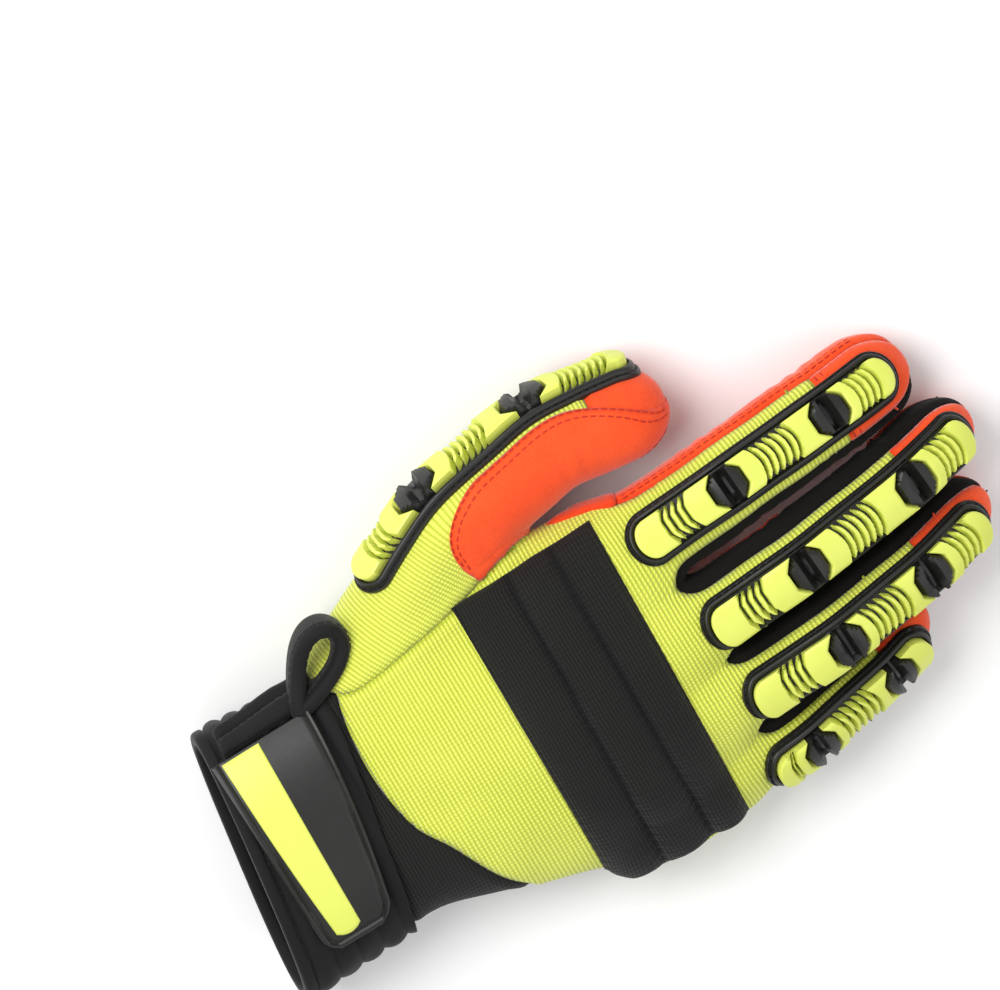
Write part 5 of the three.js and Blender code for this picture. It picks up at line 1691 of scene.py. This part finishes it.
@dataclass
class Guard:
    """A moulded finger guard: a black tray with jointed blocks, and three ribbed lime segments in it."""

    skin: Skin
    digit: Digit
    half: float = 8.5
    inner: float = 5.0
    floor: float = 1.6
    rim: float = 3.3
    flange: float = 2.1
    joint_height: float = 6.2
    block_height: float = 5.6
    rib_height: float = 5.1
    horn: float = 2.7
    reach: float = 4.9
    ribs: tuple = (3, 5, 6)
    rib_pitch: float = 2.55
    rib_share: float = 0.32
    lime_inset: float = 3.2
    block: float = 3.4
    joint_gap: float = 0.25
    slit: float = 0.75
    foot: float = 1.2

    def __post_init__(self) -> None:
        """Places the ends and joints, in millimetres along the digit."""
        self.marks = [share * self.digit.span for share in self.digit.guard]

    def points(self, s: np.ndarray, t: np.ndarray, height: np.ndarray) -> np.ndarray:
        """Points over the digit, lifted where the blended skin stands above the digit's own tube.

        Args:
            s: Places along the digit.
            t: Distance round from the middle of its back.
            height: Height above the skin.

        Returns:
            The points.
        """
        s, t, height = np.broadcast_arrays(s, t, height)
        foot = self.digit.guard_point(s, t, np.zeros(s.shape))
        lift = np.clip(-self.skin.gap(foot.reshape(-1, 3)).reshape(s.shape), 0, 9)
        return self.digit.guard_point(s, t, height + lift)

    def notch(self, t: np.ndarray) -> np.ndarray:
        """How far a joint's end reaches from its middle: a hexagon's side, less near the edges."""
        return self.reach - self.horn * np.clip((np.abs(t) - 2.4) / (self.inner - 2.4), 0, 1)

    def tray_height(self, q: np.ndarray) -> np.ndarray:
        """Height of the tray: a flange with its stitch channel, a round rim, then the floor.

        Args:
            q: Distance in from its outline.

        Returns:
            The height above the digit.
        """
        channel, crest = self.flange - 0.5, self.rim - 0.15
        outside = [(0, 0.7), (0.15, 1.5), (0.5, 2.0), (0.75, channel), (1.15, channel)]
        knots = outside + [(1.35, self.flange + 0.5), (1.65, crest), (2.1, self.rim), (2.6, crest),
                           (2.9, self.floor), (9, self.floor)]
        return np.interp(q, *np.array(knots).T)

    def joint(self, off: np.ndarray, t: np.ndarray) -> tuple:
        """A joint's black block: a hexagon with faceted sides, slit by a lens across its middle.

        Args:
            off: Distance along the digit from the joint's middle.
            t: Distance across from the guard's middle.

        Returns:
            How far the place lies inside the block, and the block's height there.
        """
        slit = self.slit * np.sqrt(np.clip(1 - (t / 5.4) ** 2, 0, 1)) + 0.05
        inside = np.minimum(self.notch(t) - off, np.minimum(off - slit, self.inner + 0.2 - np.abs(t)))
        block = self.floor + (self.joint_height - self.floor) * smooth(inside / 0.9 + 0.1)
        return inside, np.minimum(block, self.joint_height - 0.35 * np.clip(off - 1.4, 0, 9) * 0.55)

    def add_base(self) -> None:
        """Adds the tray: its height follows the distance q from its rounded outline."""
        a, b = self.marks[0], self.marks[3]
        rows = int((b - a) / 0.5)
        turn = np.linspace(0, 1, rows)
        s = a + (b - a) * (turn - np.sin(2 * math.pi * turn) / (2 * math.pi) * 0.85)
        end = np.maximum(0, np.maximum(a + self.half - s, s - b + self.half))
        wide = np.sqrt(np.maximum(self.half**2 - end**2, 0.05))
        v = np.linspace(-1, 1, 47)
        v = np.sign(v) * (1 - (1 - np.abs(v)) ** 1.15)
        s, t = s[:, None] + 0 * v, wide[:, None] * v
        q = self.half - np.hypot(t, end[:, None])
        height = self.tray_height(q)
        for mark in self.marks[1:3]:
            inside, block = self.joint(np.abs(s - mark), t)
            height = np.where(inside > -0.1, np.maximum(height, block), height)
        top = self.points(s, t, height)
        foot = self.points(s[:, [0, -1]], t[:, [0, -1]], np.full((rows, 2), -self.foot))
        rings = np.concatenate([foot[:, :1], top, foot[:, 1:]], axis=1)
        name = f"{self.digit.name}_guard_base"
        sheet = ring_tube(rings, closed=False, outwards=-1.0)
        count = rings.shape[1]
        caps = []
        for row in (0, len(rings) - 1):
            index = row * count + np.arange(count)
            halfway, mirror = count // 2, index[::-1]
            corners = (index[: halfway - 1], index[1:halfway], mirror[1:halfway], mirror[: halfway - 1])
            cap = np.stack(corners, 1)
            caps.append(cap if row else cap[:, ::-1])
        sheet.quads = np.concatenate([sheet.quads, *caps])
        sheet.add(name, BLACK_RUBBER, Slot.BLACK_RUBBER, (name,), sharp=48)

    def segment(self, part: int) -> None:
        """Adds a lime segment: blocks at its ends and swept ribs between them.

        The thin slab that joins them lies under the tray's floor, which shows between the ribs.

        Args:
            part: 0, 1 or 2 from the knuckle.
        """
        first, last = part == 0, part == 2
        start = self.marks[0] + self.lime_inset if first else self.marks[part]
        stop = self.marks[3] - self.lime_inset if last else self.marks[part + 1]
        t = np.linspace(-1, 1, 27) * self.inner
        dome = self.inner - np.sqrt(np.maximum(self.inner**2 - t**2, 0.15))
        s_start = start + dome if first else start + self.notch(t) + self.joint_gap
        s_stop = stop - dome if last else stop - self.notch(t) - self.joint_gap
        rows = int((stop - start) / 0.36)
        turn = np.linspace(0, 1, rows)[:, None]
        s = s_start + (s_stop - s_start) * turn
        t = np.broadcast_to(t, s.shape)
        sweep = 1.0 if first else -1.0
        bow = sweep * (0.62 * np.clip(np.abs(t) - 2.2, 0, 9) if first else 0.085 * t**2)
        near = start + (self.inner if first else self.reach + self.block)
        far = stop - (self.inner if last else self.reach + self.block)
        count = max(1, min(self.ribs[part], int((far - near - 0.6) / self.rib_pitch)))
        pitch = min(self.rib_pitch, (far - near) / (count + 0.35))
        near, far = ((near + far + side * pitch * (count + 0.3)) / 2 for side in (-1, 1))
        place = s - bow
        taper = smooth((self.inner + 0.05 - np.abs(t)) / 1.9)
        rib = np.zeros(s.shape)
        for k in range(count):
            middle = near + pitch * (k + 0.65)
            half = self.rib_share * pitch * (0.25 + 0.75 * taper)
            rib = np.maximum(rib, smooth((half - np.abs(place - middle)) / 0.4 + 0.4))
        slab = self.floor - 0.35
        blocks = np.maximum(smooth((near - place) / 0.5 + 0.4), smooth((place - far) / 0.5 + 0.4))
        round_in = np.minimum(np.minimum(s - s_start, s_stop - s), self.inner - np.abs(t))
        soft = 0.45 * (1 - np.sqrt(np.clip(round_in / 0.7, 0, 1)))
        height = slab + (self.rib_height - slab) * rib
        height = np.maximum(height, slab + (self.block_height - slab) * blocks) - soft
        top = self.points(s, t, height)
        bottom = self.points(s, t, np.full(s.shape, self.floor - 0.6))
        name = f"{self.digit.name}_guard_{('proximal', 'middle', 'distal')[part]}"
        plate(top, bottom).add(name, LIME_RUBBER, Slot.LIME_RUBBER, (name,), sharp=50)

    def sew(self, thread: Stitching) -> None:
        """Lays the row of stitches in the tray's channel.

        Args:
            thread: Where the stitches go.
        """
        a, b = self.marks[0], self.marks[3]
        radius = self.half - 0.98
        arc = np.linspace(-math.pi / 2, math.pi / 2, 20)
        line = np.linspace(a + self.half, b - self.half, 60)
        far, near = b - self.half + radius * np.cos(arc), a + self.half - radius * np.cos(arc)
        s = np.concatenate([line, far, line[::-1], near])
        across = radius * np.sin(arc)
        t = np.concatenate([line * 0 - radius, across, line * 0 + radius, -across])
        path = self.points(s, t, self.flange - 0.42)
        out = self.points(s, t, self.flange + 0.6) - path
        thread.run(path, out / np.linalg.norm(out, axis=1, keepdims=True))


@dataclass
class Wrist:
    """The quilted cuff with its binding, the strap, the flap's edge, the pull loop and the tab."""

    hand: Hand = field(default_factory=Hand)
    rolls: int = 6
    seam: tuple = Shell.cuff_seam
    strap_top: float = 43.8
    strap_bottom: float = -22.2
    strap_front: float = -6.88
    strap_back: float = -41.6
    strap_corner: float = 7.0
    base: float = 3.2
    roll_height: float = 1.45
    roll_power: float = 0.6
    binding_half: float = 2.1
    binding_rise: float = 2.2
    flap_ends: tuple = (-41.6, -3.0)
    flap_sides: tuple = (44.3, 50.9)
    flap_roll: float = 2.0
    loop_length: float = 26.8
    loop_width: float = 17.2
    loop_turn: float = 40 * RADIANS
    loop_foot: tuple = (-9.4, 45.6)
    loop_half: float = 2.6
    loop_top: float = 40.0
    loop_low: float = 26.5
    tab_ends: tuple = (-46.0, 1.0)
    tab_half: float = 13.0

    def add_cuff(self) -> None:
        """Adds the cuff, its rolls as high as a power of |sin| along the glove, and the binding."""
        turn = np.linspace(0, 2 * math.pi, 241)[:-1]
        middle = self.hand.ring(np.full(turn.shape, -5.0), turn, np.zeros(turn.shape))
        end = np.interp(middle[:, 1], *np.array(self.seam).T)
        share = np.linspace(0, 1, 73)[:, None]
        x = -CUFF_LENGTH + (end + CUFF_LENGTH) * share
        pitch = CUFF_LENGTH / self.rolls
        wave = np.abs(np.sin(math.pi * (x + CUFF_LENGTH) / pitch)) ** self.roll_power
        drift = 0.25 * np.sin(3 * turn + x / 9) + 0.15 * np.sin(11 * turn + x / 5)
        outer = self.hand.ring(x, turn, 1.35 + (self.roll_height + drift) * wave)
        inner = self.hand.ring(x[::-8], turn, np.full((len(x[::-8]), len(turn)), -1.5))
        rings = np.concatenate([outer, inner])
        sheet = ring_tube(rings, outwards=-1.0)
        piece = sheet.add("cuff_band", NEOPRENE, Slot.BLACK_NEOPRENE, ("cuff_band",))
        around = np.linspace(0, 2 * math.pi, 25)[:-1][:, None]
        c, s = np.cos(around), np.sin(around)
        place = -CUFF_LENGTH - 2.2 + self.binding_half * np.sign(c) * np.abs(c) ** 0.7
        lift = 0.25 + self.binding_rise * np.sign(s) * np.abs(s) ** 0.7 + 0.1 * np.sin(9 * turn) * (s > 0)
        rings = self.hand.ring(place + 0 * turn, turn + 0 * place, lift + 0 * turn)
        sheet = ring_tube(rings)
        piece = sheet.add("cuff_binding", NEOPRENE, Slot.BLACK_NEOPRENE, ("cuff_binding",))

    def outline(self, along: np.ndarray, inset: float = 0.0) -> tuple:
        """Edges of the strap from the thumb side, its far corners rounded.

        Args:
            along: Shares of its length.
            inset: How far in from its edge.

        Returns:
            Its place across the glove, its front and its back.
        """
        y = self.strap_top - (self.strap_top - self.strap_bottom) * along
        corner = self.strap_corner
        left = np.clip(y - self.strap_bottom - inset, 0, corner)
        cut = corner - np.sqrt(np.maximum(corner**2 - (corner - left) ** 2, 0))
        front = self.strap_front - 9.9 * along**1.6 - cut - inset
        back = self.strap_back + 1.65 * along + cut * 0.9 + inset
        return y, front, back

    def add_strap(self) -> None:
        """Adds the strap's plate: its height follows the distance in from its edge, with a raised rim."""
        along = np.linspace(0, 1, 130) ** 0.94
        y, front, back = self.outline(along)
        share = np.linspace(0, 1, 66)
        x = back[:, None] + (front - back)[:, None] * share
        y = np.broadcast_to(y[:, None], x.shape)
        inward = np.minimum(np.minimum(x - back[:, None], front[:, None] - x), y - self.strap_bottom)
        rim = smooth((inward + 0.1) / 0.7) * (1 - smooth((inward - 1.3) / 0.7))
        height = 1.7 + 0.55 * smooth(inward / 0.4) + 0.75 * rim
        groove = np.exp(-(((inward - 2.3) / 0.35) ** 2)) * 0.3
        top = self.hand.over(x, y, self.base + height - groove)
        bottom = self.hand.over(x, y, np.full(x.shape, self.base))
        plate(top, bottom).add("closure_strap", BLACK_RUBBER, Slot.BLACK_RUBBER, ("closure_strap",), sharp=50)

    def add_stripe(self) -> None:
        """Adds the lime stripe, let into the strap beside its cuff side, with a bowed far end."""
        along = np.linspace(0, 1, 110)
        y = self.strap_top - 0.6 - (self.strap_top - self.strap_bottom - 5.6) * along
        low = self.strap_back + 2.7 + 3.9 * along**1.3
        high = self.strap_back + 15.9 - 0.9 * along
        end = np.clip((along - 0.9) / 0.1, 0, 1)
        share = np.linspace(0, 1, 36)
        x = low[:, None] + (high - low)[:, None] * share
        y = y[:, None] - 1.6 * end[:, None] * (1 - (2 * share - 1) ** 2)
        ends = np.minimum(along, 1 - along)[:, None] * 60
        inward = np.minimum(np.minimum(x - low[:, None], high[:, None] - x), ends)
        height = 2.35 + 0.35 * smooth(inward / 0.45)
        top, bottom = (self.hand.over(x, y, self.base + h) for h in (height, np.full(x.shape, 1.6)))
        plate(top, bottom).add("strap_stripe", LIME_RUBBER, Slot.LIME_RUBBER, ("strap_stripe",), sharp=50)

    def add_flap(self, thread: Stitching) -> None:
        """Adds the flap's bound edge: two soft rolls along the thumb end of the strap.

        Args:
            thread: Where its stitches go.
        """
        start, stop = self.flap_ends
        x = np.linspace(start, stop, 80)[:, None]
        share = np.linspace(0, 1, 46)
        columns = through(self.hand.rows, x.ravel())
        reach = (np.array(self.flap_sides)[None] - columns[:, :1]) / (columns[:, 1:2] + self.base)
        angles = np.arccos(np.clip(reach, -1, 0.995) ** (BODY_POWER / 2))
        angle = angles[:, :1] + (angles[:, 1:] - angles[:, :1]) * share
        roll = np.abs(np.sin(2 * math.pi * share)) ** 0.55
        end = np.sqrt(np.clip(np.minimum(x - start, stop - x) / 2.2, 0, 1))
        height = self.base + 0.9 + (self.flap_roll + 0.2 * np.sin(x / 4)) * roll * end
        top = self.hand.ring(x + 0 * share, angle, height)
        bottom = self.hand.ring(x + 0 * share, angle, np.full(angle.shape, self.base - 0.2))
        piece = plate(top, bottom).add("flap_edge", NEOPRENE, Slot.BLACK_NEOPRENE, ("flap_edge",))
        middle = len(share) // 2
        path = top[:, middle]
        out = top[:, middle] - bottom[:, middle]
        thread.run(path, out / np.linalg.norm(out, axis=1, keepdims=True))

    def add_loop(self, thread: Stitching) -> None:
        """Adds the pull loop: a soft band stood on edge, closed to a drop.

        Args:
            thread: Where its stitches go.
        """
        turn = np.linspace(0, 2 * math.pi, 141)[:-1]
        shape = np.cos(turn)
        x = self.loop_length / 2 * shape + self.loop_length / 2
        y = self.loop_width / 2 * np.sin(turn) * (0.62 + 0.38 * shape)
        forward, sideways = math.cos(self.loop_turn), math.sin(self.loop_turn)
        line = np.stack([x * forward - y * sideways, x * sideways + y * forward], 1) + self.loop_foot
        ahead = np.roll(line, -1, axis=0) - np.roll(line, 1, axis=0)
        ahead /= np.linalg.norm(ahead, axis=1, keepdims=True)
        aside = np.stack([ahead[:, 1], -ahead[:, 0]], 1)
        around = np.linspace(0, 2 * math.pi, 33)[:-1]
        c, s = np.cos(around), np.sin(around)
        across = self.loop_half * np.sign(c) * np.abs(c) ** 0.8
        top = self.loop_top + 0.7 * np.sin(2 * turn + 0.5) + 0.4 * np.sin(3 * turn)
        low = self.loop_low - 1.5 * np.cos(turn)
        up = (top + low)[:, None] / 2 + (top - low)[:, None] / 2 * np.sign(s) * np.abs(s) ** 0.45
        plan = line[:, None, :] + aside[:, None, :] * across[None, :, None]
        rings = np.concatenate([plan, up[..., None]], axis=2)
        sheet = ring_tube(rings, outwards=-1.0)
        piece = sheet.add("pull_loop", NEOPRENE, Slot.BLACK_NEOPRENE, ("pull_loop",))
        for side in (-1, 1):
            path = np.column_stack([line + aside * self.loop_half * side, top - 3.4])
            thread.run(path, np.column_stack([aside * side, np.zeros(len(aside))]))

    def add_tab(self) -> None:
        """Adds the woven tab under the wrist."""
        x = np.linspace(*self.tab_ends, 60)[:, None]
        y = np.linspace(-self.tab_half, self.tab_half, 40)
        edge = smooth(np.minimum(self.tab_half - np.abs(y), 1.2) / 0.9)
        low = self.hand.over(x + 0 * y, y + 0 * x, 3.35 + 0.35 * (1 - edge) + 0 * x, side=-1)
        high = self.hand.over(x + 0 * y, y + 0 * x, 3.35 + 1.2 * edge + 0.3 + 0 * x, side=-1)
        high[..., 2] = np.maximum(high[..., 2], 0.35)
        low[..., 2] = np.maximum(low[..., 2], high[..., 2] + 0.9)
        plate(high, low).add("pull_tab", WEBBING, Slot.BLACK_KNIT, ("pull_tab",))


@dataclass
class Studio:
    """The pale floor, the soft lights and the camera, with its scale in photo pixels to the millimetre."""

    scale: float = 3.3
    tilt: float = 18 * RADIANS
    roll: float = 31 * RADIANS
    anchor: tuple = (74.0, 0.0, 0.0)
    aim: tuple = (-27.3, 50.0)
    width: int = 1000
    floor_half: float = 3.0
    key_power: float = 11.0
    fill_power: float = 4.0
    sky: float = 0.62

    def add(self) -> None:
        """Adds floor, lights, world and camera."""
        floor_mesh = bpy.data.meshes.new("floor")
        size = self.floor_half
        corners = [(-size, -size, 0), (size, -size, 0), (size, size, 0), (-size, size, 0)]
        floor_mesh.from_pydata(corners, [], [(0, 1, 2, 3)])
        g = Graph("floor")
        g.shader.inputs["Base Color"].default_value = (0.9, 0.9, 0.9, 1)
        g.shader.inputs["Roughness"].default_value = 0.9
        floor_mesh.materials.append(g.material)
        floor = bpy.data.objects.new("floor", floor_mesh)
        bpy.context.scene.collection.objects.link(floor)
        self.light("key", (-0.35, 0.6, 0.8), 0.7, self.key_power)
        self.light("fill", (0.6, -0.5, 0.9), 1.2, self.fill_power)
        world = bpy.data.worlds.new("studio")
        world.use_nodes = True
        world.node_tree.nodes["Background"].inputs["Color"].default_value = (1, 1, 1, 1)
        world.node_tree.nodes["Background"].inputs["Strength"].default_value = self.sky
        bpy.context.scene.world = world
        bpy.context.scene.view_settings.view_transform = "Standard"
        self.camera()

    def light(self, name: str, place: tuple, size: float, power: float) -> None:
        """Adds a square area light that faces the glove.

        Args:
            name: Name of the light.
            place: Where it hangs, in metres.
            size: Its side.
            power: Its power in watts.
        """
        data = bpy.data.lights.new(name, "AREA")
        data.size = size
        data.energy = power
        lamp = bpy.data.objects.new(name, data)
        lamp.location = place
        lamp.rotation_mode = "QUATERNION"
        lamp.rotation_quaternion = (-Vector(place)).to_track_quat("-Z", "Y")
        bpy.context.scene.collection.objects.link(lamp)

    def camera(self) -> None:
        """Adds the camera: it looks down at the back of the hand from beyond the thumb side, rolled."""
        level = np.array((0, math.cos(self.tilt), -math.sin(self.tilt)))
        ahead = np.array((1.0, 0, 0))
        right = ahead * math.cos(self.roll) - level * math.sin(self.roll)
        up = ahead * math.sin(self.roll) + level * math.cos(self.roll)
        back = np.cross(right, up)
        centre = (np.array(self.anchor) + right * self.aim[0] + up * self.aim[1] + ORIGIN) * MM
        data = bpy.data.cameras.new("camera")
        data.type = "ORTHO"
        data.ortho_scale = self.width / self.scale * MM
        data.clip_end = 10
        camera = bpy.data.objects.new("camera", data)
        bpy.context.scene.collection.objects.link(camera)
        turn = Matrix((right.tolist(), up.tolist(), back.tolist())).transposed()
        camera.matrix_world = Matrix.Translation(Vector((centre + back).tolist())) @ turn.to_4x4()
        bpy.context.scene.camera = camera


def main() -> None:
    """Builds the glove and its studio."""
    logging.basicConfig(level=logging.INFO, format="%(message)s")
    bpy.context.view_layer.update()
    shell = Shell()
    shell.build_net()
    shell.add_panels()
    shell.add_lining()
    for patch in FRONT_PATCHES:
        shell.add_overlay(patch.name, ORANGE_SUEDE, Slot.ORANGE_SUEDE, patch.inside, 1.0)
    shell.add_overlay("thumb_saddle", ORANGE_SUEDE, Slot.ORANGE_SUEDE, Saddle().inside, 1.0)
    for pad in PALM_PADS:
        shell.add_overlay(pad.name, pad.finish, pad.slot, pad.inside, pad.height)
    seamstress = Seamstress(shell)
    KnucklePad(shell.skin).add()
    for digit in shell.skin.digits:
        guard = Guard(shell.skin, digit)
        guard.add_base()
        for part in range(3):
            guard.segment(part)
        guard.sew(seamstress.black)
    wrist = Wrist(shell.skin.hand)
    wrist.add_cuff()
    wrist.add_strap()
    wrist.add_stripe()
    wrist.add_flap(seamstress.black)
    wrist.add_loop(seamstress.black)
    wrist.add_tab()
    seamstress.sew()
    Studio().add()


if __name__ == "__main__":
    main()
